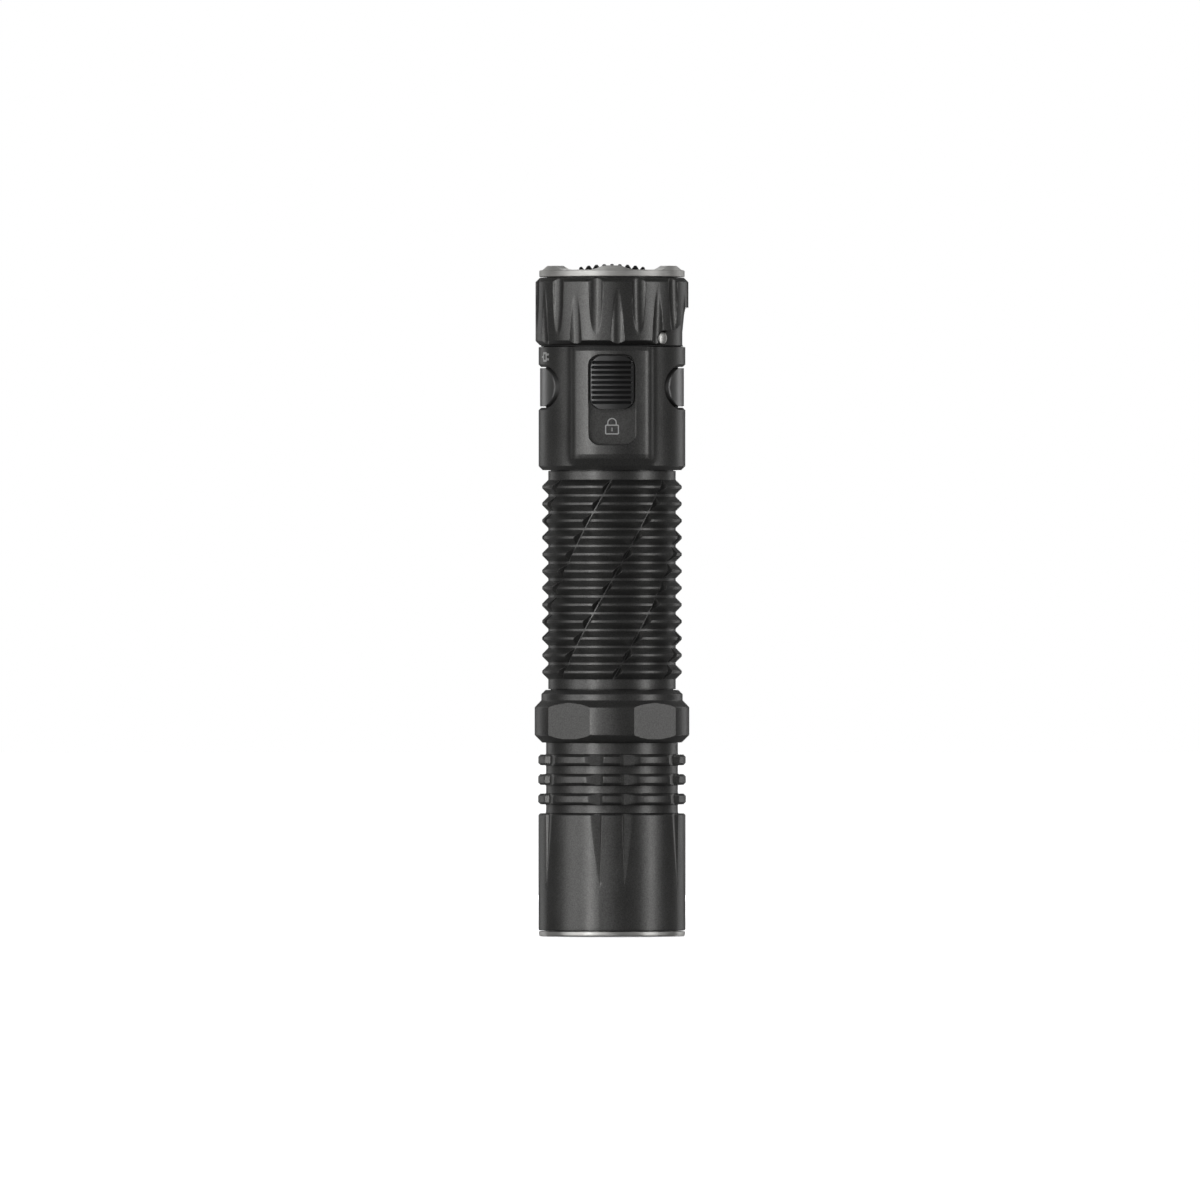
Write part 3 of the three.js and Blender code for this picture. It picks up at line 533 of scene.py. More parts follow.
def turned_metal(name, color, rough):
    """Turned metal: rings from the tool, faint stains and fine scratches."""
    paint = Paint(name)
    rings = paint.noise(paint.point((0.03, 0.03, 1)), 0.07, 3.0, 0.6)
    point = paint.point()
    stain = paint.noise(point, 2.5, 4.0)
    fine = paint.noise(point, 0.1, 2.0)
    tint = paint.ramp(stain, tuple(c * 0.9 for c in color), color, 0.3, 0.65)
    return paint.finished({
        "Base Color": paint.multiplied(tint, paint.ramp(rings, grey(0.86), grey(1))),
        "Roughness": paint.spread(stain, rough - 0.05, rough + 0.08),
        "Normal": paint.bump(fine, 0.003, 0.2, paint.bump(rings, 0.006, 0.35)),
        "Metallic": 1.0,
    })


def clear_glass(name):
    paint = Paint(name)
    smear = paint.noise(paint.point(), 3.0, 4.0)
    return paint.finished({
        "Roughness": paint.spread(smear, 0.01, 0.05),
        "Base Color": (0.93, 0.97, 1.0, 1),
        "Transmission Weight": 1.0,
        "IOR": 1.5,
        "Coat Weight": 0.5,
        "Coat Tint": (0.75, 0.8, 1.0, 1),
    })


def mirror_bowl(name):
    paint = Paint(name)
    haze = paint.noise(paint.point(), 1.2, 4.0)
    return paint.finished({
        "Base Color": paint.ramp(haze, (0.84, 0.84, 0.83), (0.9, 0.9, 0.89)),
        "Roughness": paint.spread(haze, 0.03, 0.09),
        "Metallic": 1.0,
    })


def circuit_board(name):
    """Green mask over copper tracks."""
    paint = Paint(name)
    color = paint.node("TexBrick", {
        "Vector": paint.point(), "Scale": 1 / (2.2 * MM), "Color1": (0.016, 0.09, 0.045, 1),
        "Color2": (0.02, 0.12, 0.06, 1), "Mortar": (0.05, 0.2, 0.1, 1), "Mortar Size": 0.04,
    }, "Color")
    return paint.finished({
        "Base Color": color,
        "Normal": paint.bump(color.node.outputs["Fac"], 0.03, 0.3),
        "Roughness": 0.35,
    })


# Dark and light colour, roughness, grain size in mm, grain strength; then, where they are
# not the usual ones, metallic, specular and coat.
GRAINED = {
    "black_rubber": (grey(0.014), (0.02, 0.02, 0.021), 0.55, 0.09, 0.4),
    "satin_rubber": ((0.07, 0.07, 0.069), (0.09, 0.09, 0.088), 0.36, 0.09, 0.3, 0, 1, 1),
    "black_slider": (grey(0.022), (0.03, 0.03, 0.031), 0.34, 0.12, 0.2, 0, 1, 1),
    "black_plastic": ((0.02, 0.02, 0.021), (0.032, 0.032, 0.034), 0.5, 0.14, 0.35),
    "white_plastic": ((0.7, 0.69, 0.65), (0.82, 0.8, 0.76), 0.55, 0.15, 0.2),
    "led_phosphor": ((0.75, 0.55, 0.08), (0.85, 0.68, 0.14), 0.35, 0.05, 0.2),
    "copper_board": ((0.6, 0.6, 0.58), (0.7, 0.7, 0.68), 0.45, 0.2, 0.2),
    "cell_wrap": ((0.03, 0.09, 0.28), (0.04, 0.11, 0.33), 0.3, 0.5, 0.1),
    "marking": ((0.88, 0.88, 0.87), (0.96, 0.96, 0.95), 0.5, 0.08, 0.3, 0.5),
}
MATERIALS = {name: grained(name, *values) for name, values in GRAINED.items()}
MATERIALS["anodised_body"] = anodised("anodised_body")
MATERIALS["steel"] = turned_metal("steel", (0.94, 0.93, 0.9), 0.4)
MATERIALS["crown_steel"] = turned_metal("crown_steel", (0.95, 0.94, 0.91), 0.48)
MATERIALS["brass"] = turned_metal("brass", (0.72, 0.52, 0.22), 0.28)
MATERIALS["lens_glass"] = clear_glass("lens_glass")
MATERIALS["mirror_reflector"] = mirror_bowl("mirror_reflector")
MATERIALS["circuit_board"] = circuit_board("circuit_board")


# ---- Head

def front_bezel():
    outline = rounded([
        (WINDOW_R, 0.25, 0.08), (WINDOW_R + 0.25, 0, 0.1), (BEZEL_R, 0, 0.34),
        (BEZEL_R, BEZEL_FACE, 0.1), (BEZEL_SKIRT_R, BEZEL_FACE),
        (BEZEL_SKIRT_R, BEZEL_SKIRT_END, 0.1), (WINDOW_R, BEZEL_SKIRT_END, 0.1)], 5)
    turned_piece("front_bezel_steel", outline, "head", "steel", ["front_bezel"])


def lens():
    seal = ring_outline(LENS_SEAL_R, LENS_SEAL_SECTION, LENS_SEAL_Z)
    turned_piece("lens_seal_ring", seal, "head", "black_rubber", ["lens_seal"], 128)
    turned_piece("lens_glass_disc", rounded([
        (0, LENS_FRONT), (LENS_R, LENS_FRONT, 0.15), (LENS_R, LENS_BACK, 0.15), (0, LENS_BACK)]),
        "head", "lens_glass", ["lens"], 128)


def reflector():
    """A parabolic bowl from the LED's hole to its rim, with a conical back."""
    bowl = []
    for t in np.linspace(0, 1, 40):
        r = LED_HOLE_R + (REFLECTOR_RIM - LED_HOLE_R) * t
        rise = (r * r - LED_HOLE_R ** 2) / (REFLECTOR_RIM ** 2 - LED_HOLE_R ** 2)
        bowl.append((r, REFLECTOR_BACK - (REFLECTOR_BACK - REFLECTOR_FRONT) * rise))
    bowl += REFLECTOR_OUTSIDE
    turned_piece("reflector_bowl", bowl, "head", "mirror_reflector", ["reflector"], 128, 25)


def head_outline():
    """The head as (r, z) rows: its outside, then its bore back to the front."""
    corners = [(OPTIC_BORE_R, HEAD_FRONT), (HEAD_R, HEAD_FRONT, 0.28),
               (HEAD_R, HEAD_STEP - HEAD_EDGE, 0.05), (HEAD_R - HEAD_EDGE, HEAD_STEP, 0.05),
               (FIN_ROOT_R, HEAD_STEP, 0.25)]
    for z in FIN_STARTS:
        top = z + FIN_THICK
        corners += [(FIN_ROOT_R, z, 0.25), (FIN_R - FIN_EDGE, z), (FIN_R, z + FIN_EDGE, 0.05),
                    (FIN_R, top - FIN_EDGE, 0.05), (FIN_R - FIN_EDGE, top),
                    (FIN_ROOT_R, top, 0.25)]
    corners += [
        (FIN_ROOT_R, ROLL_RING_LOW, 0.12), (ROLL_RING_R - ROLL_RING_BEVEL, ROLL_RING_LOW, 0.1),
        (ROLL_RING_R, ROLL_RING_LOW + ROLL_RING_BEVEL, 0.15),
        (ROLL_RING_R, ROLL_RING_TOP - ROLL_BACK_BEVEL, 0.15), (COLLAR_R, ROLL_RING_TOP, 0.12),
        (COLLAR_R, HEAD_END - COLLAR_CHAMFER, 0.12), (COLLAR_R - COLLAR_CHAMFER, HEAD_END, 0.1),
        (THREAD_BORE_R, HEAD_END, 0.06)]
    recess = TUBE_FRONT - 0.3
    bore = [(THREAD_BORE_R, recess), (CELL_BORE_R, recess), (CELL_BORE_R, SHELF_BACK),
            (WIRE_HOLE_R, SHELF_BACK), (WIRE_HOLE_R, SHELF_FRONT), (BOARD_BORE_R, SHELF_FRONT),
            (BOARD_BORE_R, REFLECTOR_BACK), (OPTIC_BORE_R, REFLECTOR_BACK)]
    return [*refined(rounded(corners), 0.5), *bore]


def facet_face(z):
    """Columns over half a facet's face: the uncut rib, its 45 degree wall and the flat."""
    body_r = FIN_R if z > HEAD_STEP else HEAD_R
    plane = FACET_R - FACET_SLOPE * (min(z, FACET_END_Z) - FACET_Z)
    drop = max(math.sqrt(body_r ** 2 - FACET_RIB_HALF ** 2) - plane, 0)
    top = min(FACET_RIB_HALF - drop, FACET_RIB_HALF - 0.03)
    edge = math.sqrt(max(body_r ** 2 - plane ** 2, 0))
    edge = max(edge, FACET_RIB_HALF + 0.12)
    lip = min(0.04, drop * 0.2 + 0.005)

    def turn(x):
        return math.degrees(math.asin(x / body_r))

    columns = [(turn(x), NO_LIMIT) for x in (0, top * 0.35, top * 0.7, top - lip)]
    foot_r = plane / math.cos(math.asin(FACET_RIB_HALF / body_r))
    for x, r in ((top + lip * 0.5, body_r - lip * 0.5), (FACET_RIB_HALF, foot_r)):
        columns.append((turn(x), r if drop > 0 else NO_LIMIT))
    for t in (0.06, 0.33, 0.66, 0.97):
        x = FACET_RIB_HALF + (edge - FACET_RIB_HALF) * t
        r = math.hypot(x, plane)
        columns.append((math.degrees(math.atan2(x, plane)), r if drop > 0 else NO_LIMIT))
    columns.append((turn(min(edge * 1.02, body_r)), NO_LIMIT))
    return columns


def facet_columns(z, ring_r):
    """Half a facet's sector at a height: columns as (azimuth, most radius) pairs.

    They run from the facet's middle to the middle of the next flat of the anti-roll ring.
    """
    columns = facet_face(z)
    near = columns[-1][0]
    middle = FACET_STEP / 2
    has_flat = z > ROLL_FLAT_FROM
    roll = 6.0
    if has_flat:
        reach = math.degrees(math.acos(min(ROLL_FLAT / ring_r, 1)))
        roll = max(reach, 1.0)
        room = middle - roll - 1.5
        squeeze = room / near if near > room else 1
        columns = [(column[0] * squeeze, NO_LIMIT) for column in columns]
        near = columns[-1][0]
    far = middle - roll
    for t in np.linspace(0, 1, 7)[1:-1]:
        columns.append((near + (far - 0.5 - near) * t, NO_LIMIT))
    columns.append((far - 0.5, NO_LIMIT))
    for t in (1, 0.98, 0.8, 0.6, 0.4, 0.2, 0):
        a = roll * t
        limit = ROLL_FLAT / math.cos(math.radians(a)) if has_flat else NO_LIMIT
        columns.append((middle - a, limit))
    return columns


def head_body():
    rows = []
    for r, z in head_outline():
        half = facet_columns(z, r)
        sector = half + [(FACET_STEP - a, limit) for a, limit in half[-2:0:-1]]
        full = [(FACET_STEP * k + a, limit) for k in range(FACETS) for a, limit in sector]
        azimuths, limits = np.array(full).T
        rows.append(around(azimuths, np.minimum(r, limits), z))
    grid_piece("head_body_anodised", rows, "head", "anodised_body", ["head_body"], 18)


# ---- Battery tube

def tube_outline():
    """The tube's outside as (r, z) rows; each rib has 45 degree flanks and a small crest."""
    low, high = FRONT_GROOVE
    corners = [(THREAD_R, THREAD_END, 0.05), (THREAD_R, low, 0.05), (SEAL_GROOVE_R, low, 0.1),
               (SEAL_GROOVE_R, high, 0.1), (THREAD_R, high, 0.05),
               (THREAD_R, TUBE_SHOULDER_FRONT), (TUBE_R, TUBE_SHOULDER_FRONT, 0.1)]
    height = RIB_PEAK_R - TUBE_R
    crest = RIB_CREST_HALF
    for i in range(RIBS):
        z = FIRST_RIB + RIB_PITCH * i
        corners += [(TUBE_R, z - crest - height, 0.03), (RIB_PEAK_R, z - crest, 0.06),
                    (RIB_PEAK_R, z + crest, 0.06), (TUBE_R, z + crest + height, 0.03)]
    low, high = BACK_GROOVE
    corners += [(TUBE_R, TUBE_SHOULDER_BACK, 0.1), (THREAD_R, TUBE_SHOULDER_BACK),
                (THREAD_R, low), (SEAL_GROOVE_R, low), (SEAL_GROOVE_R, high), (THREAD_R, high),
                (THREAD_R, TUBE_BACK)]
    return refined(rounded(corners), 0.6)


def cut_turn(z):
    """How far the helical cuts have turned at a height, in degrees."""
    from_tail = RIBS - 1 - (z - FIRST_RIB) / RIB_PITCH
    return CUT_LAST_AZIMUTH - CUT_STEP * min(max(from_tail, -0.6), RIBS - 0.4)


def cut_columns(r):
    """One helical cut's sector at a radius: (azimuth, radius) pairs from the cut's bottom."""
    height = max(r - TUBE_R, 0)
    half = CUT_FLOOR_HALF + max(height * CUT_WALL_RUN, 0.02)
    lip = min(0.03, height * 0.2)
    right = [(CUT_FLOOR_HALF * 0.96, min(TUBE_R, r)), (CUT_FLOOR_HALF, min(TUBE_R, r)),
             ((CUT_FLOOR_HALF + half) / 2, min(TUBE_R + height / 2, r)), (half - lip, r - lip),
             (half + lip, r)]
    scale = 180 / math.pi / RIB_PEAK_R
    near = (half + lip) * scale
    cut = [(u * scale, rr) for u, rr in right]
    plain = [(near + (CUT_SECTOR - 2 * near) * t, r) for t in np.linspace(0, 1, 19)[1:-1]]
    left = [(CUT_SECTOR - a, rr) for a, rr in cut[::-1]]
    return [(0, min(TUBE_R, r))] + cut + plain + left


def thread_radius(azimuth, z):
    """A right-handed thread with flattened crests and roots."""
    turn = (z / THREAD_PITCH - azimuth / 360) % 1
    flank = np.clip(np.abs(turn - 0.5) * 3.2 - 0.25, 0, 1)
    return THREAD_ROOT_R + (THREAD_R - THREAD_ROOT_R) * (1 - flank)


def battery_tube():
    rows = []
    count = CUTS * len(cut_columns(TUBE_R))
    even = np.arange(count) * 360 / count
    for z in np.arange(TUBE_FRONT, THREAD_END - 0.05, THREAD_PITCH / 12):
        fade = min((z - TUBE_FRONT) / 0.5, (THREAD_END - z) / 0.4, 1)
        radii = THREAD_ROOT_R + (thread_radius(even, z) - THREAD_ROOT_R) * max(fade, 0)
        rows.append(around(even + cut_turn(z), radii, z))
    for r, z in tube_outline():
        full = [(k * CUT_SECTOR + a, rr) for k in range(CUTS) for a, rr in cut_columns(r)]
        azimuths, radii = np.array(full).T
        rows.append(around(azimuths + cut_turn(z), np.minimum(radii, r), z))
    bore = [(TUBE_BORE_R, TUBE_BACK - 0.1), (TUBE_BORE_R, TUBE_FRONT + 0.1)]
    for r, z in refined([np.array(p) for p in bore], 2.0):
        rows.append(around(even + cut_turn(z), r, z))
    grid_piece("battery_tube_anodised", rows, "light_body", "anodised_body",
               ["battery_tube"], 18)
    for name, groove in (("front", FRONT_GROOVE), ("back", BACK_GROOVE)):
        outline = ring_outline(SEAL_RING_R, SEAL_SECTION, sum(groove) / 2)
        turned_piece(f"{name}_seal_ring", outline, "light_body", "black_rubber",
                     [f"{name}_seal"], 128)


# ---- Tail housing

def pad_columns():
    """The pad's columns: (x, share of the pad's height), on the +X side of its middle."""
    face = [(x, 1.0) for x in np.linspace(0, 5.4, 12)]
    edge = [(5.65, 1.0), (5.8, 0.996), (5.95, 0.985), (6.1, 0.97), (6.3, 0.93), (6.45, 0.875),
            (6.6, 0.811), (6.73, 0.73), (6.85, 0.632), (7.0, 0.458), (7.15, 0.288), (7.32, 0.172),
            (7.5, 0.095), (7.7, 0.042), (7.9, 0.015), (8.2, 0.0)]
    return face + edge


PAD_SHAPE = ((HOUSING_LOW, HOUSING_R - HOUSING_CHAMFER), (81.12, HOUSING_R + 0.03),
             (82.3, PAD_R - 0.28), (82.34, PAD_R - 0.26), (83.08, PAD_R - 0.01), (83.12, PAD_R),
             (100.92, PAD_R), (100.96, PAD_R - 0.02), (101.64, PAD_R - 0.3),
             (101.7, PAD_R - 0.36), (HOUSING_TOP, PAD_R - 0.44))
PAD_ROWS = (81.12, 81.5, 81.9, 82.3, 82.34, 82.7, 83.08, 83.12, 84, 86, 88, 90, 92, 94, 96, 98,
            99.5, 100.92, 100.96, 101.3, 101.64, 101.7)


def pad_radius(z):
    """The pad's radius on the housing's middle plane."""
    return float(np.interp(z, [p[0] for p in PAD_SHAPE], [p[1] for p in PAD_SHAPE]))


def body_radius(z, outline):
    """The round housing's radius at a height, from its (r, z) outline."""
    cone = HOUSING_R - HOUSING_CHAMFER
    if z <= HOUSING_LOW + HOUSING_CHAMFER - 0.06:
        return cone + max(z - HOUSING_LOW, 0)
    radii = dict((round(float(level), 4), r) for r, level in outline)
    keys = sorted(radii)
    return float(np.interp(z, keys, [radii[k] for k in keys]))


def housing_outline():
    return refined(rounded([
        (THREAD_BORE_R, HOUSING_LOW), (HOUSING_R - HOUSING_CHAMFER, HOUSING_LOW, 0.08),
        (HOUSING_R, HOUSING_LOW + HOUSING_CHAMFER, 0.08), (HOUSING_R, HOUSING_TOP, 0.14),
        (POCKET_R, HOUSING_TOP, 0.08)]), 0.5)


def housing_row(azimuths, side, body_r, top_r, z):
    """One row round the housing, with its front columns raised into the pad."""
    row = around(azimuths, body_r, z)
    for j, (x, share) in enumerate(side):
        low = math.sqrt(body_r ** 2 - x * x)
        high = math.sqrt(top_r ** 2 - x * x)
        row[j] = (x, -(low + share * (high - low)), z)
    return row


def housing_rows():
    outline = housing_outline()
    levels = [round(float(p[1]), 4) for p in outline if p[1] > HOUSING_LOW + 0.001]
    half = pad_columns()
    side = [(-x, share) for x, share in half[:0:-1]] + half
    pad_azimuth = [math.degrees(math.asin(p[0] / HOUSING_R)) for p in side]
    rest = np.linspace(pad_azimuth[-1], 360 + pad_azimuth[0], 120)[1:-1]
    azimuths = np.array(pad_azimuth + list(rest))
    rows = [around(azimuths, THREAD_BORE_R, HOUSING_LOW),
            around(azimuths, HOUSING_R - HOUSING_CHAMFER, HOUSING_LOW)]
    for z in sorted(set(levels + list(PAD_ROWS))):
        if z > HOUSING_TOP - 0.02 or HOUSING_LOW < z < HOUSING_LOW + 0.02:
            continue
        body_r = body_radius(z, outline)
        rows.append(housing_row(azimuths, side, body_r, max(pad_radius(z), body_r), z))
    top = rows[-1].copy()
    top[:, 2] = HOUSING_TOP
    inward = top.copy()
    inward[:, :2] *= 0.994
    rows[-1][:, 2] = HOUSING_TOP - 0.07
    rows.append(inward)
    for r, z in ((POCKET_R, HOUSING_TOP), (POCKET_R, LEDGE_TOP), (LEDGE_R, LEDGE_TOP),
                 (LEDGE_R, LEDGE_LOW), (THREAD_BORE_R, LEDGE_LOW)):
        rows.append(around(azimuths, r, z))
    return rows


def tail_housing():
    piece = grid_piece("tail_housing_anodised", housing_rows(), "light_body", "anodised_body",
                       ["tail_housing"], 17)
    carve(piece, [slot_cutter(), side_cutter(1), side_cutter(-1), detent_cutter()], 17)
    window_seal("port_window_seal", -1)
    window_seal("button_window_seal", 1)


def ring_seam_seal():
    """A rubber washer in the seam under the grip ring."""
    inner = POCKET_R + 0.2
    low = HOUSING_TOP + 0.01
    high = RING_LOW - 0.01
    turned_piece("ring_seam_seal", [(inner, low), (SEAM_SEAL_R, low), (SEAM_SEAL_R, high),
                                    (inner, high)], "light_body", "black_rubber")


def slot_cutter():
    """The slider's slot: straight walls, a flat floor and a small bevel at the pad's face."""
    def ring(grow, rise=0.0, flat=None):
        half_z = (SLOT_TOP - SLOT_LOW) / 2 + grow
        x, z = rounded_rect(SLOT_HALF + grow, half_z, SLOT_CORNER + grow).T
        out = flat or np.sqrt(PAD_R ** 2 - x ** 2) + rise
        return points(x, -out, z + (SLOT_LOW + SLOT_TOP) / 2)

    return cutter([ring(0, flat=SLOT_FLOOR), ring(0, -0.12), ring(0.14, 0.02),
                   ring(0.3, 0.2), ring(0.3, flat=PAD_R + 3)])


def stadium(grow):
    """A side window's outline, grown by a margin."""
    radius = SIDE_RADIUS + grow
    return rounded_rect(SIDE_HALF + grow, radius, radius - 0.001, arc=14, side=14)


def side_cutter(side):
    """A side window along X with a chamfer that follows the housing's curve."""
    def ring(grow, rise=0.0, flat=None):
        y, z = stadium(grow).T
        out = flat or np.sqrt(HOUSING_R ** 2 - y ** 2) + rise
        return points(side * out, y, z + SIDE_Z)

    return cutter([ring(0, flat=5.0), ring(0, -SIDE_CHAMFER), ring(SIDE_CHAMFER),
                   ring(0.8, 0.38), ring(0.8, flat=16.0)])


def window_seal(name, side):
    """A rubber lip that fills the gap round a side window's insert, below the surface."""
    outer = stadium(-0.01)
    inner = rounded_rect(INSERT_HALF + 0.02, INSERT_RADIUS + 0.02, INSERT_RADIUS + 0.019, 14, 14)
    rings = []
    for outline, radius in ((outer, SEAL_TOP_R), (inner, SEAL_TOP_R), (inner, SEAL_FLOOR_R),
                            (outer, SEAL_FLOOR_R)):
        y, z = outline.T
        rings.append(points(side * np.sqrt(radius ** 2 - y ** 2), y, z + SIDE_Z))
    grid_piece(name, rings, "light_body", "black_rubber")


def radial_rings(azimuth, z, rings, steps=32):
    """Circles about a radial line: (circle radius, distance out) pairs."""
    a = math.radians(azimuth)
    out = np.array([math.sin(a), -math.cos(a), 0])
    side = np.array([math.cos(a), math.sin(a), 0])
    up = np.array([0, 0, 1.0])
    angles = np.linspace(0, TAU, steps, endpoint=False)[:, None]
    return [out * d + up * z + r * (np.cos(angles) * side + np.sin(angles) * up)
            for r, d in rings]


def detent_cutter():
    """The hole that the detent ball looks through, in the slot's floor."""
    return cutter(radial_rings(0, DETENT_Z, [(DETENT_HOLE_R, 12.5), (DETENT_HOLE_R, 10.0)], 24))


# ---- Plates and keys

def plate_grid(reach_at, levels, surface, back, bevel, columns):
    """A plate's grid of points: a front, bevelled edges and a back.

    reach_at(z) gives each row's half width; surface(x, z) and back(x) give how far the front
    and the back are from the light's axis.
    """
    rows = []
    for z in levels:
        reach = reach_at(z)
        x = np.linspace(-1, 1, columns) * max(reach - bevel, reach * 0.5)
        edge = surface(reach, z) - bevel
        rim = back(reach)
        across = np.concatenate([x, [reach, reach], x[::-1], [-reach, -reach]])
        out = np.concatenate([surface(x, z), [edge, rim], back(x[::-1]), [rim, edge]])
        rows.append(points(across, -out, z))
    ends = []
    for row in (rows[0], rows[-1]):
        y = np.minimum(row[:, 1] + bevel, -back(row[:, 0]))
        ends.append(points(row[:, 0], y, row[:, 2]))
    return np.array([ends[0], *rows, ends[1]])


def plate(name, grid, body, slot, nodes, look=None):
    """A closed piece from a plate's grid, with squares across its top and bottom."""
    rows, columns = grid.shape[:2]
    faces = grid_faces(rows, columns)
    half = columns // 2 - 2
    for base in (0, (rows - 1) * columns):
        loop = [base + j for j in range(columns)]
        fronts = loop[:half]
        rears = loop[half + 2:2 * half + 2][::-1]
        for j in range(half - 1):
            faces.append((fronts[j], fronts[j + 1], rears[j + 1], rears[j]))
        faces.append((fronts[-1], loop[half], loop[half + 1], rears[-1]))
        faces.append((fronts[0], rears[0], loop[-2], loop[-1]))
    return placed(new_mesh(name, grid.reshape(-1, 3), faces), body, slot, nodes, 25, look)


def curved_rows(low, high, end, fine, coarse):
    """Heights from low to high, closer together within end of either one."""
    near = end * (1 - np.cos(np.linspace(0, math.pi / 2, fine)))
    middle = np.linspace(low + end, high - end, coarse)[1:-1]
    return np.concatenate([low + near, middle, (high - near)[::-1]])


def side_plate(name, outer, inner, body, slot, nodes, azimuth, look=None):
    """A curved plate that fills a side window, between two radii."""
    radius = INSERT_RADIUS

    def reach(z):
        up = min(abs(z - SIDE_Z), radius - 1e-4)
        return INSERT_HALF - radius + math.sqrt(radius ** 2 - up ** 2)

    levels = curved_rows(SIDE_Z - radius + 0.002, SIDE_Z + radius - 0.002, radius * 0.7, 14, 8)
    x, y, z = np.moveaxis(plate_grid(reach, levels, lambda x, z: np.sqrt(outer ** 2 - x ** 2),
                                     lambda x: np.sqrt(inner ** 2 - x ** 2), 0.14, 40), -1, 0)
    c, s = math.cos(math.radians(azimuth)), math.sin(math.radians(azimuth))
    return plate(name, points(x * c - y * s, x * s + y * c, z), body, slot, nodes, look)


def port_ring(half, out):
    """A round-ended slot's outline across the port, at a distance out to the left."""
    y, z = rounded_rect(*half, half[1] - 0.01, 10, 3).T
    return points(-out, y, z + SIDE_Z)


def side_inserts():
    """The mode button on the right; the port's cover, frame and socket on the left."""
    side_plate("mode_button_rubber", INSERT_R, BUTTON_BACK_R, "mode_key", "black_rubber",
               ["mode_button"], 90, "satin_rubber")
    side_plate("port_cover_rubber", INSERT_R, PORT_COVER_BACK_R, "port_flap", "black_rubber",
               ["port_cover"], -90, "satin_rubber")
    port_frame = side_plate("port_frame_plastic", PORT_FRAME_R, PORT_FRAME_BACK_R, "light_body",
                            "black_plastic", ["port_frame"], -90)
    carve(port_frame, [cutter([port_ring(PORT_HOLE_HALF, x) for x in (13, 8)])], 35)
    rings = [port_ring(SOCKET_HALF, 2.75), port_ring(SOCKET_HALF, 10.05),
             port_ring(SOCKET_MOUTH_HALF, 10.1), port_ring(SOCKET_MOUTH_HALF, 4.5)]
    placed(capped_mesh("usb_socket_shell", rings), "light_body", "steel", ["usb_socket"], 30)


def slider_height(x, z):
    """The slider's face: curved like the pad, with grooves that stop short of its edges."""
    face = np.sqrt(SLIDER_R ** 2 - x ** 2)
    phase = (z - SLIDER_MID) / GROOVE_PITCH
    across = np.clip((GROOVE_REACH_X - np.abs(x)) / 0.18, 0, 1)
    along = np.clip((GROOVE_REACH_Z - np.abs(z - SLIDER_MID)) / 0.05, 0, 1)
    wave = np.abs((phase + 0.5) % 1 - 0.5) * 2
    groove = np.clip(1 - wave / GROOVE_SHARE, 0, 1)
    return face - GROOVE_DEPTH * groove * across * along


def slider_levels():
    """The slider's rows: close together at its ends and at every groove."""
    marks = np.array([0, 0.08, 0.16, 0.24, 0.3, 0.32, 0.42])
    ridges = [SLIDER_MID + GROOVE_PITCH * (n + sign * f) for n in range(-4, 5) for f in marks
              for sign in (-1, 1)]
    ends = curved_rows(SLIDER_LOW, SLIDER_TOP, SLIDER_CORNER, 26, 4)
    levels = np.unique(np.round(np.concatenate([ridges, ends]), 3))
    return levels[np.concatenate([[True], np.diff(levels) > 0.008])]


def slider_reach(z):
    """The slider's half width at a height, with round corners."""
    over = max(abs(z - SLIDER_MID) - (SLIDER_END - SLIDER_CORNER), 0)
    rest = SLIDER_CORNER ** 2 - min(over, SLIDER_CORNER) ** 2
    return SLIDER_HALF - SLIDER_CORNER + math.sqrt(max(rest, 0))


def lock_slider():
    """The ridged slider, and a black foot under it that paints shade into the gap round it."""
    grid = plate_grid(slider_reach, slider_levels(), slider_height,
                      lambda x: 0 * x + SLOT_FLOOR + 0.15, 0.16, 70)
    plate("lock_slider_plastic", grid, "lock", "black_slider", ["lock_slider"])
    # A black rubber foot a little wider than the slider: painted shade, so the gap between the
    # slider and the slot's walls looks dark.
    x, z = rounded_rect(SLIDER_HALF + SHADE_FOOT_REACH, SLIDER_END, SLOT_CORNER, 10, 4).T
    rings = [points(x, -SLOT_FLOOR - rise, z + SLIDER_MID) for rise in (0.12, 0.6)]
    placed(capped_mesh("lock_slider_shade_foot", rings), "lock", "black_rubber")


# ---- Grip ring

def flute_radius(azimuth, z, centre, open_z, tip_z, bluntness):
    """How far out the metal reaches under one family of tapering round flutes."""
    step = 360 / FLUTES
    off = (azimuth - centre + step / 2) % step - step / 2
    rise = FLUTE_DEPTH * max((z - open_z) / (tip_z - open_z), 0) ** bluntness
    floor = RING_R - FLUTE_DEPTH + rise
    middle = floor + FLUTE_RADIUS
    a = np.radians(off)
    inside = FLUTE_RADIUS ** 2 - (middle * np.sin(a)) ** 2
    reach = middle * np.cos(a) - np.sqrt(np.maximum(inside, 0))
    return np.where(inside > 0, reach, NO_LIMIT)


def soft_min(a, b, width):
    """The lesser of two radii, with the corner between them eased over a width."""
    gap = np.clip(0.5 + 0.5 * (b - a) / width, 0, 1)
    return b * (1 - gap) + a * gap - width * gap * (1 - gap)


def notch_limit(azimuth, z):
    """The most radius in the wrist-cord recess on +X; none outside it."""
    off = np.abs((azimuth - 90 + 180) % 360 - 180)
    y = RING_R * np.sin(np.radians(np.minimum(off, 90)))
    t = np.clip((NOTCH_HALF - y) / (NOTCH_HALF - NOTCH_ROOF_HALF), 0, 1)
    roof = NOTCH_STEP + (NOTCH_TOP - NOTCH_STEP) * t ** 2.6
    floor = NOTCH_R + NOTCH_LEAN * np.clip((z - NOTCH_STEP) / 5, 0, 1)
    inside = (y < NOTCH_HALF) & (off < 89) & (z < roof)
    return np.where(inside, floor, NO_LIMIT)


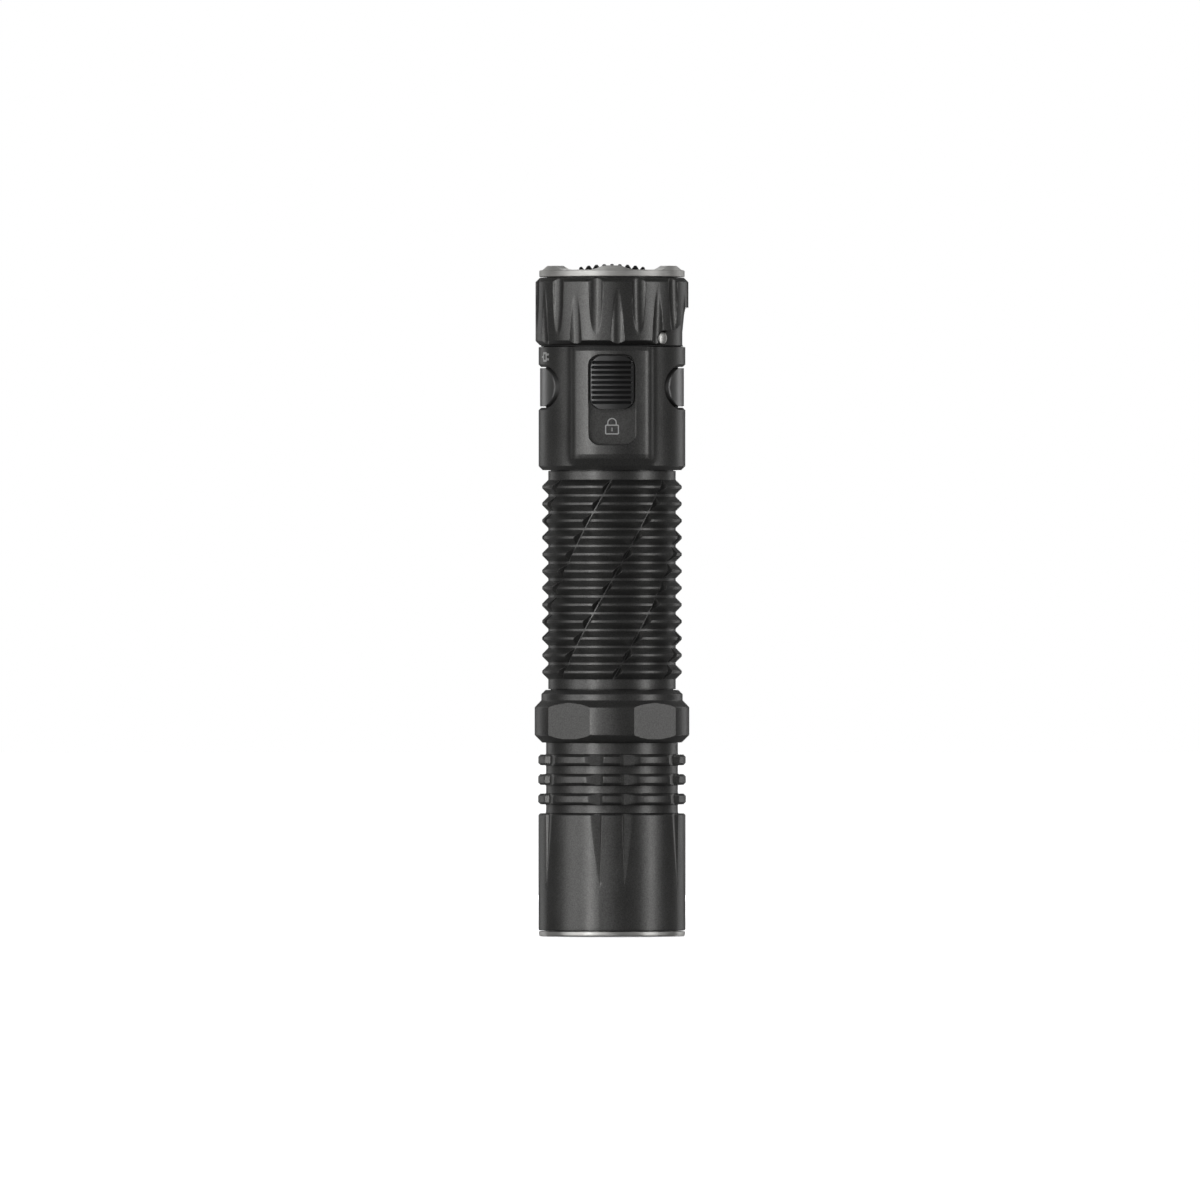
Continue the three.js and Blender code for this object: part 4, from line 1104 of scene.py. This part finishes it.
def grip_ring():
    azimuths = np.arange(0, 360, 0.5)
    outline = refined(rounded([
        (RING_BORE_R, RING_LOW), (RING_R - RING_CHAMFER, RING_LOW, 0.08),
        (RING_R, RING_LOW + RING_CHAMFER, 0.1), (RING_R, RING_TOP - RING_CHAMFER, 0.1),
        (RING_R - RING_CHAMFER, RING_TOP, 0.08), (CROWN_SEAT_R, RING_TOP)]), 0.12)
    rows = []
    for r, z in outline:
        tail = flute_radius(azimuths, z, FLUTE_TAIL_AZIMUTH, RING_TOP, FLUTE_TAIL_TIP, 2.5)
        front = flute_radius(azimuths, z, FLUTE_HEAD_AZIMUTH, RING_LOW, FLUTE_HEAD_TIP, 1.0)
        flutes = np.minimum(tail, front)
        eased = soft_min(np.full_like(flutes, r), flutes, 0.05)
        radii = np.where(flutes < NO_LIMIT / 2, eased, r)
        radii = np.minimum(radii, notch_limit(azimuths, z))
        rows.append(around(azimuths, radii, z))
    for r, z in ((CROWN_SEAT_R, CROWN_SEAT_Z), (RING_HOLE_R, CROWN_SEAT_Z),
                 (RING_HOLE_R, RING_ROOF), (RING_BORE_R, RING_ROOF)):
        rows.append(around(azimuths, r, z))
    piece = grid_piece("grip_ring_anodised", rows, "light_body", "anodised_body",
                       ["grip_ring"], 16)
    carve(piece, [pin_cutter(PIN_AZIMUTH), pin_cutter(180 - PIN_AZIMUTH)], 16)


def pin_cutter(azimuth):
    return cutter(radial_rings(azimuth, PIN_Z, [(PIN_R + 0.3, 11.3), (PIN_R + 0.3, 15)]))


def lanyard_pin(name, azimuth):
    dome = [(PIN_R * math.cos(t), PIN_OUTER - 0.3 + 0.3 * math.sin(t))
            for t in np.linspace(0.0, math.pi / 2 - 0.05, 8)]
    rings = radial_rings(azimuth, PIN_Z, [(0.01, PIN_INNER), (PIN_R, PIN_INNER), *dome,
                                          (0.01, PIN_OUTER)], 40)
    placed(capped_mesh(f"lanyard_pin_{name}_steel", rings), "light_body", "steel",
           [f"lanyard_pin_{name}"], 40)


# ---- Crown and button

def tooth_rise(azimuth):
    """The crown's height above its band: flat-topped teeth with hollow ramps."""
    step = 360 / CROWN_TEETH
    off = np.abs((azimuth + step / 2) % step - step / 2)
    along = CROWN_R * np.radians(off)
    t = np.clip((TOOTH_BASE_HALF - along) / (TOOTH_BASE_HALF - TOOTH_TOP_HALF), 0, 1)
    ramp = (t / RAMP_SHARE) ** 1.5 * RAMP_RISE
    over = (t - RAMP_SHARE) / (1 - RAMP_SHARE)
    round_off = RAMP_RISE + (1 - RAMP_RISE) * np.sin(over * math.pi / 2)
    eased = np.where(t < RAMP_SHARE, ramp, round_off)
    return (CROWN_TOP - CROWN_BAND_TOP) * eased


def crown_ring():
    azimuths = np.arange(0, 360, 0.75)
    rise = tooth_rise(azimuths)
    share = rise / (CROWN_TOP - CROWN_BAND_TOP)
    neck_r = CROWN_SEAT_R - 0.2
    band = [(CROWN_BORE_R, CROWN_FOOT), (neck_r, CROWN_FOOT), (neck_r, CROWN_LOW),
            (CROWN_R, CROWN_LOW, CROWN_EDGE), (CROWN_R, CROWN_BAND_TOP, CROWN_EDGE)]
    rows = [around(azimuths, r, z) for r, z in rounded(band, 6)]
    for t in np.linspace(0.06, 0.88, 9):
        r = CROWN_R - CROWN_EDGE - t * 0.16 * share
        rows.append(around(azimuths, r, CROWN_BAND_TOP + rise * t))
    edge_r = CROWN_R - 0.3 - 0.14 * share
    for inset, low in ((0, 0.04), (0.08, 0.0), (0.9, 0.0), (1.6, 0.0), (1.7, 0.04)):
        top = CROWN_BAND_TOP + rise * (1 - low) - low * 0.1
        rows.append(around(azimuths, edge_r - inset, top))
    inner_r = edge_r - 1.75
    for t in np.linspace(0.15, 1, 6):
        r = inner_r + (CROWN_BORE_R + 0.7 - inner_r) * t
        rows.append(around(azimuths, r, CROWN_BAND_TOP + rise * (1 - t) - 0.05))
    rows.append(around(azimuths, CROWN_BORE_R + 0.1, CROWN_BAND_TOP - 0.6))
    rows.append(around(azimuths, CROWN_BORE_R, CROWN_BAND_TOP - 0.75))
    grid_piece("crown_ring_steel", rows, "light_body", "crown_steel", ["crown_ring"], 40)


def button_height(x, y):
    """The button's dome with square pyramid studs on a grid."""
    r = np.hypot(x, y)
    dome = BUTTON_TOP - BUTTON_DROP * (r / BUTTON_R) ** 2
    u = np.abs((x / BUTTON_PITCH + 0.5) % 1 - 0.5) * 2
    v = np.abs((y / BUTTON_PITCH + 0.5) % 1 - 0.5) * 2
    stud = np.clip(STUD_SLOPE - np.maximum(u, v) * STUD_SLOPE, 0, 1)
    stud = np.minimum(stud, STUD_TOP)
    fade = np.clip((BUTTON_R - 0.05 - r) / 0.25, 0, 1)
    return dome - STUD_HEIGHT + STUD_HEIGHT * stud * fade / STUD_TOP


def button_top():
    """The button's studded face as vertices and squares, trimmed to a circle."""
    cells = 12
    step = BUTTON_PITCH / cells
    reach = math.ceil(BUTTON_R / step)
    index = {}
    verts = []

    def vertex(i, j):
        if (i, j) not in index:
            x, y = i * step, j * step
            r = math.hypot(x, y)
            if r > BUTTON_R - 0.6 * step:
                x, y = x * BUTTON_R / r, y * BUTTON_R / r
            index[(i, j)] = len(verts)
            verts.append((x, y, float(button_height(np.float64(x), np.float64(y)))))
        return index[(i, j)]

    faces = []
    for i in range(-reach, reach):
        for j in range(-reach, reach):
            if math.hypot((i + 0.5) * step, (j + 0.5) * step) < BUTTON_R - 0.25 * step:
                faces.append((vertex(i, j), vertex(i + 1, j), vertex(i + 1, j + 1),
                              vertex(i, j + 1)))
    return verts, faces


def extend_down(mesh, levels):
    """Closes an open face below with rings at (radius, height) levels and a bottom."""
    bm = bmesh.new()
    bm.from_mesh(mesh)
    rim = [e for e in bm.edges if e.is_boundary]
    for radius, z in levels:
        grown = bmesh.ops.extrude_edge_only(bm, edges=rim)["geom"]
        for v in (g for g in grown if isinstance(g, bmesh.types.BMVert)):
            r = math.hypot(v.co.x, v.co.y)
            v.co.x *= radius * MM / r
            v.co.y *= radius * MM / r
            v.co.z = z * MM
        rim = [g for g in grown if isinstance(g, bmesh.types.BMEdge)
               and all(abs(v.co.z - z * MM) < 1e-9 for v in g.verts)]
    bmesh.ops.contextual_create(bm, geom=rim)
    bm.to_mesh(mesh)
    bm.free()


def tail_button():
    mesh = new_mesh("tail_button_rubber", *button_top())
    extend_down(mesh, ((BUTTON_R, BUTTON_SHOULDER), (BUTTON_R, BUTTON_FLANGE_TOP),
                       (BUTTON_FLANGE_R, BUTTON_FLANGE_TOP), (BUTTON_FLANGE_R, BUTTON_LOW)))
    placed(mesh, "tail_switch_cap", "black_rubber", ["tail_button"], 28)


# ---- Markings

def mark(name, loops, place):
    """Flat printed strokes: each loop is (outer, inner) outlines, laid on a surface."""
    verts, faces = [], []
    for outer, inner in loops:
        faces += [tuple(len(verts) + k for k in face)
                  for face in grid_faces(4, len(outer), True)]
        for outline, lift in ((outer, 0), (inner, 0), (inner, PRINT_THICK),
                              (outer, PRINT_THICK)):
            verts += [place(u, v, lift) for u, v in outline]
    placed(new_mesh(name, verts, faces), "light_body", "white_plastic", look="marking")


def frame_loop(half_u, half_v, corner, stroke, centre=(0, 0)):
    """The outer and inner outline of a rounded rectangle drawn as a stroke.

    Both need the same number of points, so the corners have to be alike on both.
    """
    inner_corner = max(corner - stroke, 0.02)
    outer = rounded_rect(half_u, half_v, corner, 6, 2) + centre
    inner = rounded_rect(half_u - stroke, half_v - stroke, inner_corner, 6, 2) + centre
    return outer, inner


def bow(half, base, top):
    """A half circle on two legs, as a path from the right leg's foot to the left's."""
    arc = [(half * math.cos(t), top + half * math.sin(t)) for t in np.linspace(0, math.pi, 17)]
    return [(half, base), *arc, (-half, base)]


def padlock(name, centre_z, raised):
    """A generic padlock, about 2.4 mm wide, on the slot's floor; raised opens its bow."""
    def place(u, v, lift):
        return (u, -(SLOT_FLOOR + PRINT_LIFT + lift), centre_z + v)

    body = frame_loop(1.2, 0.85, 0.25, 0.2, (0, -0.55))
    keyhole = frame_loop(0.1, 0.32, 0.075, 0.07, (0, -0.55))
    mark(name, [body, keyhole], place)
    base = 0.3
    rings = []
    for pair in zip(bow(0.82, base, 0.63), bow(0.62, base, 0.63)):
        (ou, ov), (iu, iv) = [(u, v + raised * (u > 0 or v > base + 0.01)) for u, v in pair]
        rings.append([place(ou, ov, 0), place(iu, iv, 0), place(iu, iv, PRINT_THICK),
                      place(ou, ov, PRINT_THICK)])
    placed(capped_mesh(f"{name}_bow", rings), "light_body", "white_plastic", look="marking")


def charge_mark():
    """A small plug symbol above the port: a rounded body with two blades and a lead."""
    def place(u, v, lift):
        azimuth = PLUG_AZIMUTH + math.degrees(u / HOUSING_R)
        return tuple(around(azimuth, HOUSING_R + PRINT_LIFT + lift, PLUG_Z + v))

    body = frame_loop(0.75, 0.85, 0.25, 0.4)
    blades = [frame_loop(0.38, 0.17, 0.05, 0.14, (1.14, v)) for v in (0.42, -0.42)]
    lead = frame_loop(0.3, 0.17, 0.05, 0.14, (-1.04, 0))
    mark("charge_mark", [body, *blades, lead], place)


# ---- Stage

def area_light(name, azimuth, size_x, power, distance=0.7, height=AIM_HEIGHT, size_z=0.7):
    """A soft box that faces the object's middle, at an azimuth round it."""
    data = bpy.data.lights.new(name, "AREA")
    data.shape = "RECTANGLE"
    data.size = size_x
    data.size_y = size_z
    data.energy = power
    lamp = new_object(name, data)
    lamp.location = around(azimuth, distance, height)
    aim = Vector((0, 0, AIM_HEIGHT)) - lamp.location
    lamp.rotation_euler = aim.to_track_quat("-Z", "Y").to_euler()


def studio_walls(tree):
    """White walls behind the object, and a dim room for it to reflect."""
    background = tree.nodes["Background"]
    path = tree.nodes.new("ShaderNodeLightPath")
    shade = tree.nodes.new("ShaderNodeMapRange")
    shade.inputs["To Min"].default_value = ROOM_LIGHT
    shade.inputs["To Max"].default_value = 1.0
    tree.links.new(path.outputs["Is Camera Ray"], shade.inputs["Value"])
    tree.links.new(shade.outputs["Result"], background.inputs["Strength"])
    background.inputs["Color"].default_value = (1, 1, 1, 1)


def floor_light(floor):
    """A broad light from above that falls on the floor alone."""
    data = bpy.data.lights.new("floor_light", "SUN")
    data.energy = FLOOR_SUN
    data.angle = math.radians(80)
    lamp = new_object("floor_light", data)
    group = bpy.data.collections.new("floor_only")
    group.objects.link(floor)
    lamp.light_linking.receiver_collection = group


def floor_paint():
    """Pale matt paint with a slow drift in tone and a little light of its own."""
    paint = Paint("pale_floor")
    tone = paint.noise(paint.point(), 400.0)
    return paint.finished({
        "Base Color": paint.ramp(tone, grey(0.9), grey(0.92)),
        "Roughness": 0.9,
        "Emission Color": (1, 1, 1, 1),
        "Emission Strength": FLOOR_GLOW,
    })


def pale_floor():
    """A wide floor that the dark body neither mirrors nor is lit by."""
    far = FLOOR_REACH
    corners = [(-far, -far, 0), (far, -far, 0), (far, far, 0), (-far, far, 0)]
    mesh = new_mesh("floor", corners, [(0, 1, 2, 3)])
    floor = new_object("floor", mesh)
    floor.location.z = -FLOOR_DROP
    floor.visible_glossy = False
    floor.visible_diffuse = False
    mesh.materials.append(floor_paint())
    return floor


def stage():
    scene = bpy.context.scene
    world = bpy.data.worlds.new("studio")
    world.use_nodes = True
    studio_walls(world.node_tree)
    scene.world = world
    floor_light(pale_floor())
    scene.view_settings.view_transform = "Standard"


def camera():
    """Straight on from the front; the light's axis is a little right of the middle."""
    data = bpy.data.cameras.new("camera")
    data.sensor_width = SENSOR
    data.lens = SENSOR * CAMERA_DISTANCE / FRAME_HEIGHT
    data.clip_end = 50
    eye = new_object("camera", data)
    eye.location = (CAMERA_X, -CAMERA_DISTANCE, AIM_HEIGHT)
    eye.rotation_euler = (math.pi / 2, 0, 0)
    bpy.context.scene.camera = eye


def carried_over():
    """CAD nodes that stay visible take their slot's material."""
    slots = {part["node"]: part["material_slot"] for part in frame["record"]["subparts"]}
    for name, node in frame["nodes"].items():
        material = MATERIALS[slots[name]]
        if not node.material_slots:
            node.data.materials.append(material)
        for slot in node.material_slots:
            slot.material = material


carried_over()
front_bezel()
lens()
reflector()
head_body()
battery_tube()
tail_housing()
ring_seam_seal()
side_inserts()
lock_slider()
grip_ring()
lanyard_pin("front", PIN_AZIMUTH)
lanyard_pin("back", 180 - PIN_AZIMUTH)
crown_ring()
tail_button()
padlock("closed_lock_mark", CLOSED_LOCK_Z, 0.0)
padlock("open_lock_mark", OPEN_LOCK_Z, 0.35)
charge_mark()
stage()
camera()
area_light("left_key", -34, 0.12, 1.3)
area_light("left_fill", -64, 0.34, 0.75)
area_light("front_fill", -8, 0.1, 0.2)
area_light("right_key", 63, 0.16, 1.0)
area_light("back_key", 178, 0.12, 0.7)
area_light("back_top", 185, 0.3, 0.35, 0.75, 0.62, 0.3)
area_light("left_rim", -140, 0.18, 0.32)
area_light("right_rim", 137, 0.18, 0.4)
